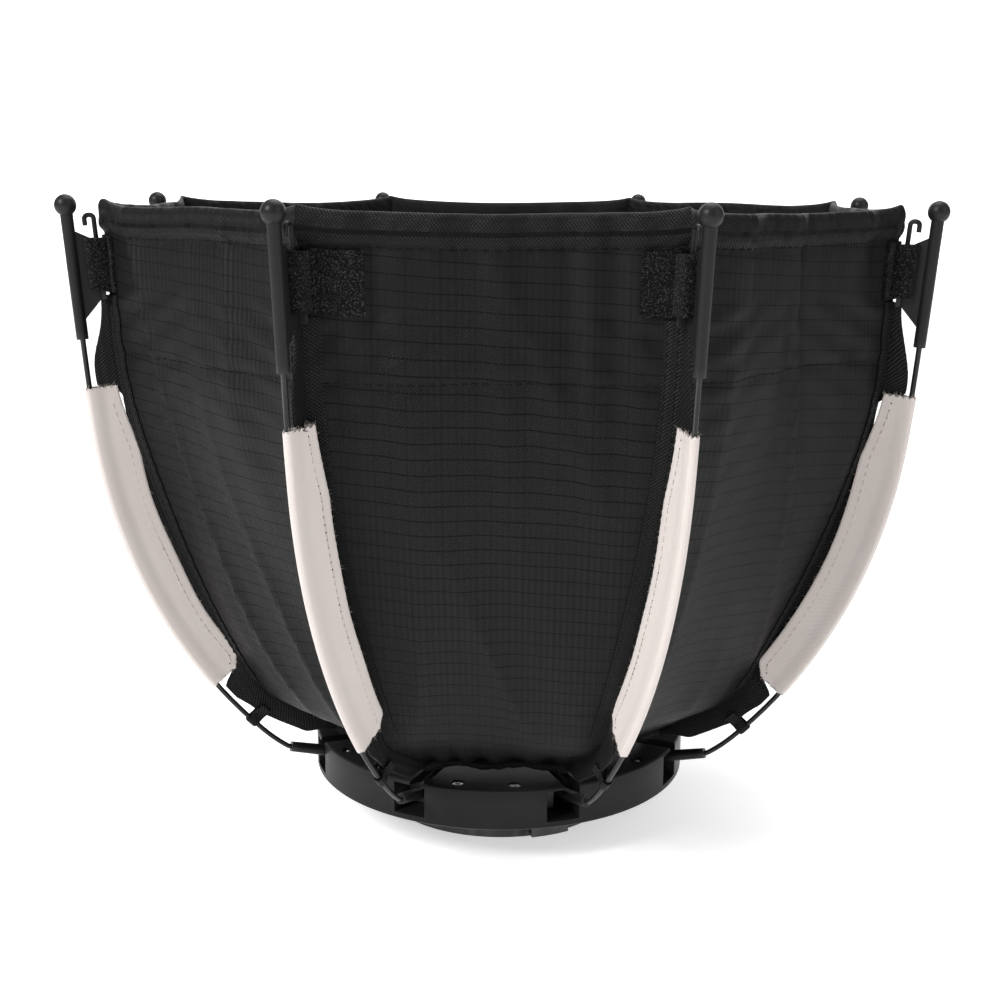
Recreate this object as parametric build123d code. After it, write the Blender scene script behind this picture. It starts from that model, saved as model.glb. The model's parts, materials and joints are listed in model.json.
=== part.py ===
"""Collapsible eight-rib softbox: a deep octagonal fabric bowl carried by eight sprung ribs.

Millimetres, +Z up. The origin is the centre of the bayonet ring's lower face, so the softbox
stands on z = 0 with its mouth upwards. Rib azimuths run anticlockwise from +X, seen from above.
"""
import os
from math import cos, degrees, radians, sin, tan

from build123d import *

# ---- layout ----
RIBS = 8
STEP_DEG = 360 / RIBS
HALF_STEP = STEP_DEG / 2
FIRST_RIB_AZ = HALF_STEP
FOLD_CLEAR = 0.35            # gap between the moving ribs and the bag or its straps
RUN_CLEAR = 0.30             # gap round the turning carrier
CUT = 1.0                    # how far a cutting body stands past the face it cuts

# ---- bayonet ring ----
BAYONET_R = 48.0
BAYONET_BORE_R = 44.0
BAYONET_H = 16.0
BAYONET_FLANGE_R = 57.0
BAYONET_FLANGE_T = 3.0
LUGS = 3
LUG_R = 53.0
LUG_T = 3.6
LUG_LIFT = 1.6
LUG_SPAN_DEG = 17.0
LUG_FIRST_AZ = -66.0
RING_SCREWS = 6
RING_SCREW_R = 1.5
RING_SCREW_HEAD_R = 2.6
RING_SCREW_HEAD_H = 1.6

# ---- hub ----
HUB_R = 76.0
LIGHT_R = 42.0
BASE_T = 10.1
COVER_T = 5.8
FLOOR_T = 2.5
TOP_T = 3.2
INNER_WALL_R = 49.5
OUTER_WALL_R = 65.0
HUB_CHAMFER = 0.5
LOCK_TURN = 5.2              # how far the carrier turns to take the rods under their lips, degrees
NOTCH_SIDE = 0.55            # gap each side of a root rod in its notch
WINDOW_INSET = 8.0           # how far a rod's window starts inside the outer wall
COVER_SCREWS_PER_BAY = 2
COVER_SCREW_PCR = 70.4
COVER_SCREW_SPREAD = 8.7     # degrees either side of the middle of a bay
COVER_SCREW_R = 1.25
COVER_SCREW_HEAD_R = 2.3
COVER_SCREW_HEAD_H = 1.6
COVER_SCREW_L = 9.0
HEAD_SINK = 0.5
HEAD_CLEAR = 0.2
SOCKET_KEY_R = 1.1
SOCKET_KEY_DEEP = 0.9

# ---- rib carrier and hinge pins ----
PIN_R = 1.2
PIN_L = 12.0
PIN_RUN = 0.05
HINGE_R = 58.0
HINGE_LIFT = 7.2             # hinge axis above the hub's lower face
CARRIER_WALL = 4.0
EYE_R = 3.0
EYE_W = 4.8
SLOT_SIDE = 0.2              # gap each side of a root rod in the carrier's slot

# ---- rib: a root rod, a bent spring wire, and a moulded tip ----
ROD_SLOPE = 14.0
ROD_L = 32.0
ROD_ROOT_R = 2.5
ROD_END_R = 2.0
ROD_GRIP = 12.0              # how deep the wire sits in the rod
WIRE_R = 0.95
KNEE_BEND = (5.0, 22.0)      # radius, degrees turned
INSTEP_BEND = (70.0, 10.0)
BELLY_BEND = (209.8, 37.3)
SHOULDER_BEND = (700.0, 2.5)
TIP_ABOVE_SHOULDER = 17.9    # straight length above the bag's straight upper band
TUBE_L = 47.0
TUBE_TOP_R = 2.2
TUBE_FOOT_R = 2.1
WIRE_SHORT = 5.0             # wire ends this far below the ball's centre
BALL_R = 3.8
FIN_T = 1.6
FIN_TOP = 8.0                # along the tube, down from the ball's centre
FIN_FOOT = 42.0
STRIP_REACH = 8.2            # from the tube's axis to the strip's outer face
STRIP_T = 1.6
STRIP_W = 7.0
STRIP_TOP = 12.5
STRIP_L = 21.0
HOOK_R = 0.85
HOOK_RISE = 8.6
HOOK_OUT = 3.2
HOOK_DROP = 3.6
HOOK_BEND = 1.4
HOOK_ROOT = 2.0              # hook's foot below the strip's top

# ---- bag: one flat-cut panel between each pair of ribs, given at the panel's middle ----
BAG_FOOT_R = 60.5
BAG_FOOT_LIFT = 4.1          # above the hub's top face
BAG_FOOT_SLOPE = 31.0
BAG_FOOT_L = 29.8
HIP_BEND = (22.0, 32.0)
FLANK_BEND = (504.0, 11.5)
UPPER_BEND = (196.0, 13.7)
BAG_STRAIGHT = 33.3
CLOTH_T = 1.2
HEM_H = 10.8
HEM_T = 3.0
HEM_PROUD = 1.1
HEM_ROUND = 0.9
TAB_H = 20.0
TAB_T = 1.3
TAB_REACH = 12.0
TAB_BELOW_HEM = 1.5
TAPE_W = 5.0                 # how far the seam tape stands out from the corner
TAPE_T = 1.6
TAPE_L = 23.0
TAPE_BELOW_TAB = 5.0
SLEEVE_T = 1.8
SLEEVE_ROLL = 0.75           # cloth round the wire
SLEEVE_WIDE = 20.0
SLEEVE_START = 27.0          # sleeve's lower end, along the belly bend
SLEEVE_END = 17.5            # upper end, past the belly bend
STRAP_W = 8.0
STRAP_T = 1.4
STRAP_WALL = 0.9
STRAP_AT = 6.0               # strap's middle, along the belly bend
ELASTIC_T = 3.2
ELASTIC_H = 3.6
ELASTIC_DROP = 1.4           # casing's lower edge below the bag's foot

# ---- sizes that follow ----
BASE_Z = BAYONET_H
SPLIT_Z = BASE_Z + BASE_T
HUB_TOP_Z = SPLIT_Z + COVER_T
CAVITY_LOW = BASE_Z + FLOOR_T
CAVITY_HIGH = HUB_TOP_Z - TOP_T
HINGE_Z = BASE_Z + HINGE_LIFT
BAG_FOOT_Z = HUB_TOP_Z + BAG_FOOT_LIFT
NOTCH_W = 2 * (ROD_ROOT_R + NOTCH_SIDE)
EYE_SLOT_W = max(EYE_W + 2 * RUN_CLEAR, 2 * (ROD_ROOT_R + SLOT_SIDE))
TIP_STRAIGHT = BAG_STRAIGHT + TIP_ABOVE_SHOULDER


def ring(outer, inner, low, high):
    """A plain ring about Z."""
    blank = Cylinder(outer, high - low, align=(Align.CENTER, Align.CENTER, Align.MIN))
    hole = Cylinder(inner, high - low + 2 * CUT, align=(Align.CENTER, Align.CENTER, Align.MIN))
    return Pos(0, 0, low) * (blank - Pos(0, 0, -CUT) * hole)


def octagon_ring(outer, inner, low, high):
    """A ring with a flat side facing each panel, sized across its flats."""
    flat = RegularPolygon(outer, RIBS, major_radius=False) - RegularPolygon(inner, RIBS, major_radius=False)
    return Pos(0, 0, low) * Rot(0, 0, HALF_STEP) * extrude(flat, high - low)


def post(radius, low, high):
    """A cylinder along Z between two heights."""
    return Pos(0, 0, low) * Cylinder(radius, high - low, align=(Align.CENTER, Align.CENTER, Align.MIN))


def slab(x_low, x_high, half_width, low, high):
    """A box along X, centred on the XZ plane."""
    box = Box(x_high - x_low, 2 * half_width, high - low, align=(Align.MIN, Align.CENTER, Align.MIN))
    return Pos(x_low, 0, low) * box


def around(count, first, shape):
    """The shape repeated about Z."""
    return [Rot(0, 0, first + n * 360 / count) * shape for n in range(count)]


def keep(node, *solids):
    """Write one node."""
    solids = [s for shape in solids for s in shape.solids()]
    export_step(solids[0] if len(solids) == 1 else Compound(children=solids), f"parts/{node}.step")


class Rail:
    """A chain of straights and tangent bends in the radial plane, each bend turning upwards."""

    def __init__(self, start, slope, out=0.0):
        self.out = out
        self.slope = slope
        self.point = self.shift(start, slope, out)
        self.edges = []

    @staticmethod
    def shift(point, slope, out):
        """Move a point to the rail's outer side."""
        return (point[0] + out * sin(radians(slope)), point[1] - out * cos(radians(slope)))

    def straight(self, length):
        end = (self.point[0] + length * cos(radians(self.slope)),
               self.point[1] + length * sin(radians(self.slope)))
        self.edges.append(Line(self.at(self.point), self.at(end)))
        self.point = end
        return self

    def bend(self, radius, turn):
        reach = radius + self.out
        start, after = self.slope, self.slope + turn
        end = (self.point[0] + reach * (sin(radians(after)) - sin(radians(start))),
               self.point[1] + reach * (cos(radians(start)) - cos(radians(after))))
        heading = Vector(cos(radians(start)), 0, sin(radians(start)))
        self.edges.append(TangentArc(self.at(self.point), self.at(end), tangent=heading))
        self.point, self.slope = end, after
        return self

    @staticmethod
    def at(point):
        return (point[0], 0, point[1])

    def closed_over(self, far_r):
        """The face between the rail and a vertical line at far_r."""
        low, high = self.edges[0] @ 0, self.edges[-1] @ 1
        back = [Line(high, (far_r, 0, high.Z)), Line((far_r, 0, high.Z), (far_r, 0, low.Z)),
                Line((far_r, 0, low.Z), low)]
        return make_face(Wire(list(self.edges) + back))


def arc_turn(length, radius):
    """Degrees turned by a stretch of a bend."""
    return degrees(length / radius)


def rib_rail(out=0.0, skip_rod=True):
    """The wire's centre line, from the rod's mouth to the ball, or a line beside it."""
    start = (HINGE_R + ROD_L * cos(radians(ROD_SLOPE)), HINGE_Z + ROD_L * sin(radians(ROD_SLOPE)))
    inside = ROD_GRIP if not skip_rod else 0.0
    start = (start[0] - inside * cos(radians(ROD_SLOPE)), start[1] - inside * sin(radians(ROD_SLOPE)))
    rail = Rail(start, ROD_SLOPE, out)
    if inside:
        rail.straight(inside)
    return rail.bend(*KNEE_BEND).bend(*INSTEP_BEND)


def bag_rail(out=0.0):
    """The bag's outer face at the middle of a panel, from the hub to the mouth."""
    rail = Rail((BAG_FOOT_R, BAG_FOOT_Z), BAG_FOOT_SLOPE, out)
    rail.straight(BAG_FOOT_L).bend(*HIP_BEND).bend(*FLANK_BEND).bend(*UPPER_BEND)
    return rail.straight(BAG_STRAIGHT)


def wedge(half_deg, reach, low, high):
    """A wedge about the +X half plane."""
    side = reach * tan(radians(half_deg))
    flat = Polyline((0, 0), (reach, -side), (reach, side), (0, 0))
    return Pos(0, 0, low) * extrude(make_face(flat), high - low)


def across(face, half_width):
    """A face in the XZ plane made into a body both sides of that plane."""
    return extrude(face, half_width, dir=(0, 1, 0), both=True)


def bag_body(out):
    """Everything inside one panel's face moved outwards by out, before it is trimmed."""
    return across(bag_rail(out).closed_over(-CUT), PANEL_REACH)


# ---- sizes that come out of the rails ----
BAG_RIM = bag_rail().point
PANEL_REACH = BAG_RIM[0]
BAG_RIM_Z = BAG_RIM[1]
TIP_SLOPE = ROD_SLOPE + KNEE_BEND[1] + INSTEP_BEND[1] + BELLY_BEND[1] + SHOULDER_BEND[1]
WIRE_TOP = rib_rail().bend(*BELLY_BEND).bend(*SHOULDER_BEND)
TIP_FOOT = WIRE_TOP.point
BALL_AT = (TIP_FOOT[0] + TIP_STRAIGHT * cos(radians(TIP_SLOPE)),
           TIP_FOOT[1] + TIP_STRAIGHT * sin(radians(TIP_SLOPE)))
BAYS_MIDDLE = HALF_STEP - LOCK_TURN / 2


def down_the_tip(distance, side=0.0):
    """A point below the ball along the tip's axis, moved towards the bag by side."""
    slope = radians(TIP_SLOPE)
    return (BALL_AT[0] - distance * cos(slope) - side * sin(slope), 0,
            BALL_AT[1] - distance * sin(slope) + side * cos(slope))


# ---- hub ----
def rod_window(low, high):
    """The space a root rod sweeps as the carrier turns from its notch to its lip."""
    half = NOTCH_W / 2
    near, far = OUTER_WALL_R - WINDOW_INSET, HUB_R + CUT
    locked_far = Vector(far, -half, 0).rotate(Axis.Z, -LOCK_TURN)
    locked_near = Vector(near, -half, 0).rotate(Axis.Z, -LOCK_TURN)
    flat = Polyline((near, half), (far, half), (locked_far.X, locked_far.Y),
                    (locked_near.X, locked_near.Y), (near, half))
    return Pos(0, 0, low) * extrude(make_face(flat), high - low)


def under_rods():
    """The space below a cone that clears the upper sides of the root rods."""
    clear = ROD_ROOT_R / cos(radians(ROD_SLOPE)) + RUN_CLEAR
    near, far, low = OUTER_WALL_R - WINDOW_INSET, HUB_R + 2 * CUT, SPLIT_Z - CUT
    rise = tan(radians(ROD_SLOPE))
    near_top, far_top = (HINGE_Z + (r - HINGE_R) * rise + clear for r in (near, far))
    section = Polyline((near, 0, low), (far, 0, low), (far, 0, far_top), (near, 0, near_top), (near, 0, low))
    return revolve(make_face(section), Axis.Z)


def hub_base():
    body = ring(HUB_R, LIGHT_R, BASE_Z, SPLIT_Z)
    rims = body.edges().filter_by(GeomType.CIRCLE).group_by(Axis.Z)[0]
    body = chamfer(rims.sort_by(SortBy.RADIUS)[-1:], HUB_CHAMFER)
    body -= ring(OUTER_WALL_R, INNER_WALL_R, CAVITY_LOW, SPLIT_Z + CUT)
    body -= around(RIBS, FIRST_RIB_AZ, rod_window(CAVITY_LOW, SPLIT_Z + CUT))
    for place in cover_screw_places():
        body -= place * post(COVER_SCREW_R, SCREW_FOOT_Z, SPLIT_Z + CUT)
    for place in ring_screw_places():
        body -= place * post(RING_SCREW_R, BASE_Z - CUT, CAVITY_LOW)
    return body


def hub_cover():
    body = ring(HUB_R, LIGHT_R, SPLIT_Z, HUB_TOP_Z)
    rims = body.edges().filter_by(GeomType.CIRCLE).group_by(Axis.Z)[-1]
    body = chamfer(rims, HUB_CHAMFER)
    body -= ring(OUTER_WALL_R, INNER_WALL_R, SPLIT_Z - CUT, CAVITY_HIGH)
    window = rod_window(SPLIT_Z - CUT, HUB_TOP_Z + CUT) & under_rods()
    body -= around(RIBS, FIRST_RIB_AZ, window)
    notch = slab(HINGE_R - EYE_R, HUB_R + CUT, NOTCH_W / 2, SPLIT_Z - CUT, HUB_TOP_Z + CUT)
    body -= around(RIBS, FIRST_RIB_AZ, notch)
    for place in cover_screw_places():
        body -= place * post(COVER_SCREW_R, SPLIT_Z - CUT, HUB_TOP_Z + CUT)
        body -= place * post(COVER_SCREW_HEAD_R + HEAD_CLEAR, HEAD_SEAT_Z, HUB_TOP_Z + CUT)
    return body


def cover_screw_places():
    """Two screws in each bay of the wall between neighbouring windows."""
    places = []
    for bay in range(RIBS):
        for side in (-COVER_SCREW_SPREAD, COVER_SCREW_SPREAD):
            az = FIRST_RIB_AZ + bay * STEP_DEG + BAYS_MIDDLE + side
            places.append(Rot(0, 0, az) * Pos(COVER_SCREW_PCR, 0, 0))
    return places


def ring_screw_places():
    """Screws that hold the bayonet ring's flange to the hub, between its lugs."""
    pitch = (BAYONET_R + BAYONET_FLANGE_R) / 2
    return [Rot(0, 0, LUG_FIRST_AZ + (n + 0.5) * 360 / RING_SCREWS) * Pos(pitch, 0, 0)
            for n in range(RING_SCREWS)]


HEAD_SEAT_Z = HUB_TOP_Z - HEAD_SINK - COVER_SCREW_HEAD_H
SCREW_FOOT_Z = HEAD_SEAT_Z - COVER_SCREW_L


def hex_key(low, high):
    """The driver's recess."""
    return Pos(0, 0, low) * extrude(RegularPolygon(SOCKET_KEY_R, 6), high - low)


def cover_screw():
    top = HEAD_SEAT_Z + COVER_SCREW_HEAD_H
    screw = post(COVER_SCREW_R, SCREW_FOOT_Z, top) + post(COVER_SCREW_HEAD_R, HEAD_SEAT_Z, top)
    return screw - hex_key(top - SOCKET_KEY_DEEP, top + CUT)


def ring_screw():
    head_top = BAYONET_H - BAYONET_FLANGE_T
    low = head_top - RING_SCREW_HEAD_H
    screw = post(RING_SCREW_R, low, CAVITY_LOW) + post(RING_SCREW_HEAD_R, low, head_top)
    return screw - hex_key(low - CUT, low + SOCKET_KEY_DEEP)


def bayonet_ring():
    body = ring(BAYONET_R, BAYONET_BORE_R, 0, BAYONET_H)
    body += ring(BAYONET_FLANGE_R, BAYONET_BORE_R, BAYONET_H - BAYONET_FLANGE_T, BAYONET_H)
    sector = ring(LUG_R, BAYONET_BORE_R, LUG_LIFT, LUG_LIFT + LUG_T)
    lug = sector & wedge(LUG_SPAN_DEG / 2, LUG_R + CUT, 0, BAYONET_H)
    for piece in around(LUGS, LUG_FIRST_AZ, lug):
        body += piece
    for place in ring_screw_places():
        body -= place * post(RING_SCREW_R, BAYONET_H - BAYONET_FLANGE_T - CUT, BAYONET_H + CUT)
    return body


# ---- carrier ----
def pin_body(radius, length):
    return Pos(HINGE_R, 0, HINGE_Z) * Rot(90, 0, 0) * Cylinder(radius, length)


def rib_carrier():
    low, high = CAVITY_LOW + RUN_CLEAR, CAVITY_HIGH - RUN_CLEAR
    inner, outer = INNER_WALL_R + RUN_CLEAR, OUTER_WALL_R - RUN_CLEAR
    body = ring(outer, inner, low, high)
    slot = slab(inner + CARRIER_WALL, outer + CUT, EYE_SLOT_W / 2, low - CUT, high + CUT)
    body -= around(RIBS, FIRST_RIB_AZ, slot)
    body -= around(RIBS, FIRST_RIB_AZ, pin_body(PIN_R, PIN_L))
    return body


# ---- rib pieces, modelled at azimuth 0 ----
def rib_socket():
    """Root rod: an eye on the hinge pin and a tapered shank that grips the wire."""
    axis = Plane(origin=(HINGE_R, 0, HINGE_Z), z_dir=(cos(radians(ROD_SLOPE)), 0, sin(radians(ROD_SLOPE))))
    foot = Circle(ROD_ROOT_R)
    mouth = Pos(0, 0, ROD_L) * Circle(ROD_END_R)
    body = axis * loft([foot.face(), mouth.face()])
    body += pin_body(EYE_R, EYE_W)
    body -= pin_body(PIN_R + PIN_RUN, EYE_W + 2 * CUT)
    bore = Pos(0, 0, ROD_L - ROD_GRIP) * Cylinder(WIRE_R, ROD_GRIP + CUT,
                                                  align=(Align.CENTER, Align.CENTER, Align.MIN))
    return body - axis * bore


def wire_path():
    rail = rib_rail(skip_rod=False).bend(*BELLY_BEND).bend(*SHOULDER_BEND)
    return Wire(rail.straight(TIP_STRAIGHT - WIRE_SHORT).edges)


def rib_wire():
    path = wire_path()
    return sweep(Plane(origin=path @ 0, z_dir=path % 0) * Circle(WIRE_R), path)


def rib_tip():
    """Moulded tip: ball, tube, and a web that carries the strip and hook for the bag."""
    slope = radians(TIP_SLOPE)
    along = (cos(slope), 0, sin(slope))
    foot = Plane(origin=down_the_tip(TUBE_L), z_dir=along)
    tube = foot * loft([Circle(TUBE_FOOT_R).face(), (Pos(0, 0, TUBE_L) * Circle(TUBE_TOP_R)).face()])
    body = tube + Pos(*down_the_tip(0)) * Sphere(BALL_R)
    strip_foot = STRIP_TOP + STRIP_L
    web = Polyline(down_the_tip(FIN_TOP), down_the_tip(STRIP_TOP, STRIP_REACH),
                   down_the_tip(strip_foot, STRIP_REACH), down_the_tip(FIN_FOOT), down_the_tip(FIN_TOP))
    body += across(make_face(web), FIN_T / 2)
    edge = STRIP_REACH + STRIP_T
    strip = Polyline(down_the_tip(STRIP_TOP, STRIP_REACH), down_the_tip(STRIP_TOP, edge),
                     down_the_tip(strip_foot, edge), down_the_tip(strip_foot, STRIP_REACH),
                     down_the_tip(STRIP_TOP, STRIP_REACH))
    body += across(make_face(strip), STRIP_W / 2)
    mid = STRIP_REACH + STRIP_T / 2
    hook = FilletPolyline(down_the_tip(STRIP_TOP + HOOK_ROOT, mid), down_the_tip(STRIP_TOP - HOOK_RISE, mid),
                          down_the_tip(STRIP_TOP - HOOK_RISE, mid - HOOK_OUT),
                          down_the_tip(STRIP_TOP - HOOK_RISE + HOOK_DROP, mid - HOOK_OUT), radius=HOOK_BEND)
    body += sweep(Plane(origin=hook @ 0, z_dir=hook % 0) * Circle(HOOK_R), hook)
    bore = foot * Pos(0, 0, -CUT) * Cylinder(WIRE_R, TUBE_L - WIRE_SHORT + CUT,
                                             align=(Align.CENTER, Align.CENTER, Align.MIN))
    return body - bore


def bag_corner(out):
    """The bag's outside near one rib, moved outwards by out."""
    panel = bag_body(out)
    return (Rot(0, 0, HALF_STEP) * panel) & (Rot(0, 0, -HALF_STEP) * panel)


def belly_part(out, start, end):
    """A stretch of the belly bend: edges from start to end along it, moved outwards by out."""
    lead = rib_rail(out)
    radius, turn = BELLY_BEND
    lead.bend(radius, arc_turn(start, radius))
    lead.edges.clear()
    stretch = turn - arc_turn(start, radius)
    if end is None:
        lead.bend(radius, stretch)
        lead.bend(SHOULDER_BEND[0], arc_turn(SLEEVE_END, SHOULDER_BEND[0]))
    else:
        lead.bend(radius, arc_turn(end - start, radius))
    return lead.edges


def belly_band(start, end, inside, outside, half_width):
    """A flat band in the radial plane along the wire."""
    outer = belly_part(outside, start, end)
    inner = belly_part(-inside, start, end)
    ends = [Line(outer[0] @ 0, inner[0] @ 0), Line(outer[-1] @ 1, inner[-1] @ 1)]
    return across(make_face(Wire(outer + inner + ends)), half_width)


def belly_tube(start, end, radius):
    """A tube's outside along the wire."""
    path = Wire(belly_part(0.0, start, end))
    return sweep(Plane(origin=path @ 0, z_dir=path % 0) * Circle(radius), path)


def rib_sleeve(corner, wire):
    """Doubled twill strip folded round the wire and sewn to the bag's corner."""
    body = belly_band(SLEEVE_START, None, SLEEVE_WIDE, 0.0, SLEEVE_T / 2)
    body += belly_tube(SLEEVE_START, None, WIRE_R + SLEEVE_ROLL)
    return largest(body - corner - wire)


def rib_tab():
    """Hook-and-loop tab wrapped over the bag's corner behind the tip's strip."""
    outer, inner = bag_corner(FOLD_CLEAR + TAB_T), bag_corner(FOLD_CLEAR)
    high = BAG_RIM_Z - TAB_BELOW_HEM
    window = slab(0, 2 * PANEL_REACH, TAB_REACH, high - TAB_H, high)
    return largest((outer - inner) & window)


def largest(shape):
    return sorted(shape.solids(), key=lambda s: s.volume)[-1]


# ---- bag pieces ----
def gore():
    """One panel between two ribs, cut square at the ribs."""
    shell = bag_body(0.0) - bag_body(-CLOTH_T)
    shell &= slab(BAG_FOOT_R, 2 * PANEL_REACH, 2 * PANEL_REACH, 0, BAG_RIM_Z + CUT)
    return largest(shell & wedge(HALF_STEP, 2 * PANEL_REACH, 0, BAG_RIM_Z + CUT))


def rim_hem():
    """Rolled hem that runs round the mouth."""
    outer = BAG_RIM[0] + HEM_PROUD
    body = octagon_ring(outer, outer - HEM_T, BAG_RIM_Z, BAG_RIM_Z + HEM_H)
    top = body.edges().group_by(Axis.Z)[-1]
    return fillet(top, HEM_ROUND)


def seam_tape():
    """Webbing that closes the bag's corner seam and stands out from it, below the tab."""
    high = BAG_RIM_Z - TAB_BELOW_HEM - TAB_H - TAPE_BELOW_TAB
    strip = slab(0, 2 * PANEL_REACH, TAPE_T / 2, high - TAPE_L, high)
    reach = bag_corner(TAPE_W * cos(radians(HALF_STEP))) - bag_corner(0.0)
    return largest(reach & strip)


def loop_strap(corner):
    """Webbing loop round the wire, sewn to the bag's corner below the sleeve."""
    start, end = STRAP_AT - STRAP_W / 2, STRAP_AT + STRAP_W / 2
    hole = WIRE_R + FOLD_CLEAR
    body = belly_band(start, end, SLEEVE_WIDE, 0.0, STRAP_T / 2)
    body += belly_tube(start, end, hole + STRAP_WALL)
    body -= belly_tube(start - CUT, end + CUT, hole)
    return largest(body - corner)


def base_elastic():
    """Elastic casing at the foot of the bag."""
    low = BAG_FOOT_Z - ELASTIC_DROP
    return octagon_ring(BAG_FOOT_R, BAG_FOOT_R - ELASTIC_T, low, low + ELASTIC_H)


def main():
    os.makedirs("parts", exist_ok=True)
    keep("bayonet_ring", bayonet_ring())
    keep("bayonet_screws", *[place * ring_screw() for place in ring_screw_places()])
    keep("hub_base", hub_base())
    keep("hub_cover", hub_cover())
    keep("cover_screws", *[place * cover_screw() for place in cover_screw_places()])
    keep("rib_carrier", rib_carrier())
    keep("hinge_pins", *around(RIBS, FIRST_RIB_AZ, pin_body(PIN_R, PIN_L)))

    wire = rib_wire()
    corner_clear = bag_corner(FOLD_CLEAR)
    ribs = {"socket": rib_socket(), "wire": wire, "tip": rib_tip(),
            "sleeve": rib_sleeve(corner_clear, wire), "tab": rib_tab()}
    panel = gore()
    for n in range(RIBS):
        turn = Rot(0, 0, FIRST_RIB_AZ + n * STEP_DEG)
        for piece, shape in ribs.items():
            keep(f"rib_{n + 1}_{piece}", turn * shape)
        keep(f"gore_{n + 1}", turn * Rot(0, 0, HALF_STEP) * panel)

    keep("rim_hem", rim_hem())
    keep("seam_tapes", *around(RIBS, FIRST_RIB_AZ, seam_tape()))
    keep("loop_straps", *around(RIBS, FIRST_RIB_AZ, loop_strap(bag_corner(0.0))))
    keep("base_elastic", base_elastic())


main()
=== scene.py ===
"""Looks of a collapsible octagonal softbox: bag, sleeves, webbing, tabs, finishes, stage and camera."""
import json
import math
import random
import bpy
import numpy as np
from bpy.props import FloatProperty, FloatVectorProperty, IntProperty, PointerProperty
from mathutils import Matrix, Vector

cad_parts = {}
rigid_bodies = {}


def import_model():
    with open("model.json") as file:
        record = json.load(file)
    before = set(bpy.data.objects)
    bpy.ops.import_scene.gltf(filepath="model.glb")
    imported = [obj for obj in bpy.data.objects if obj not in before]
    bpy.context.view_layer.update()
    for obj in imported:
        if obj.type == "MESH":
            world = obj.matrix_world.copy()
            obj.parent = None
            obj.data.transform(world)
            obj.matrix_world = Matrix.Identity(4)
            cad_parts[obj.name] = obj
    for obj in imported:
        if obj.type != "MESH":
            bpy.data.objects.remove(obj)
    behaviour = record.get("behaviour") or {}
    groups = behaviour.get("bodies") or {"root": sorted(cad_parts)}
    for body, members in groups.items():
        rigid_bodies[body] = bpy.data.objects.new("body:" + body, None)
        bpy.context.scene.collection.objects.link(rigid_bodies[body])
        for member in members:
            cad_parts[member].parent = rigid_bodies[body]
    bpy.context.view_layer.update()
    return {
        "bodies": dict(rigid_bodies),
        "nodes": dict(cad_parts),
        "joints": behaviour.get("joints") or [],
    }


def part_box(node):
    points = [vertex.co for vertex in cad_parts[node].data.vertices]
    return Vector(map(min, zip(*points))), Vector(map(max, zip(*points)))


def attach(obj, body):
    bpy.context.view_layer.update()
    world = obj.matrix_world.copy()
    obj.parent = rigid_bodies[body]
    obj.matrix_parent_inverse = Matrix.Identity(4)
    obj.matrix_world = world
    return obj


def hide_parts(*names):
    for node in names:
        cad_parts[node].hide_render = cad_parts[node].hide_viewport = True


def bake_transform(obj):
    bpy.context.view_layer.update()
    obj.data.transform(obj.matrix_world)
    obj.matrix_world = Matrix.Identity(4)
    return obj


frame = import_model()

bl_info = {
    "name": "Softbox Maker",
    "version": (1, 0, 0),
    "blender": (4, 5, 0),
    "location": "3D View > Sidebar > Softbox",
    "description": "Sews the bag of a folding softbox onto its ribs and finishes every part",
    "category": "Object",
}

MM = 0.001

# ---- facts read from the frame ----
HINGES = {j["child"]: j for j in frame["joints"]}
RIB_BODIES = sorted(name for name in frame["bodies"] if name.startswith("rib_"))
RIBS = len(RIB_BODIES)
HALF = math.pi / RIBS
HINGE_R = math.hypot(*HINGES["rib_1"]["pos_m"][:2])
HINGE_Z = HINGES["rib_1"]["pos_m"][2]
EAST_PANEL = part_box(f"gore_{RIBS}")
FOOT_R, FOOT_Z = EAST_PANEL[0].x, EAST_PANEL[0].z
RIM_Z = EAST_PANEL[1].z
HEM_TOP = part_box("rim_hem")[1].z
TAB_LOW, TAB_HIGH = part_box("rib_1_tab")[0].z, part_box("rib_1_tab")[1].z

# ---- the bag's line at the middle of a panel, as (length in mm, degrees turned) ----
BAG_SLOPE = 31.0
BAG_LINE = [(29.8, 0.0), (12.29, 32.0), (101.16, 11.5), (46.87, 13.7), (33.3, 0.0)]
# ---- a rib's wire from the rod's mouth ----
ROD_SLOPE = 14.0
ROD_LENGTH = 32.0
RIB_LINE = [(1.92, 22.0), (12.22, 10.0), (136.58, 37.3), (30.54, 2.5), (51.2, 0.0)]
BELLY_AT = (RIB_LINE[0][0] + RIB_LINE[1][0]) * MM
WIRE_R = 0.95
TIP_STRIP = (7.4, 7.0)      # mm from the wire's line inward to the strip's middle, and its width
UPPER_BAND = 43 * MM        # from the rim down to the second row of stitching
HEM_ROW = 0.9 * MM          # from the rim down to the first row
TAB_DROP = 16 * MM          # from the rim down to where the tabs pull on the cloth
NO_RIPSTOP = 400.0          # a grid wider than any piece


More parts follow.
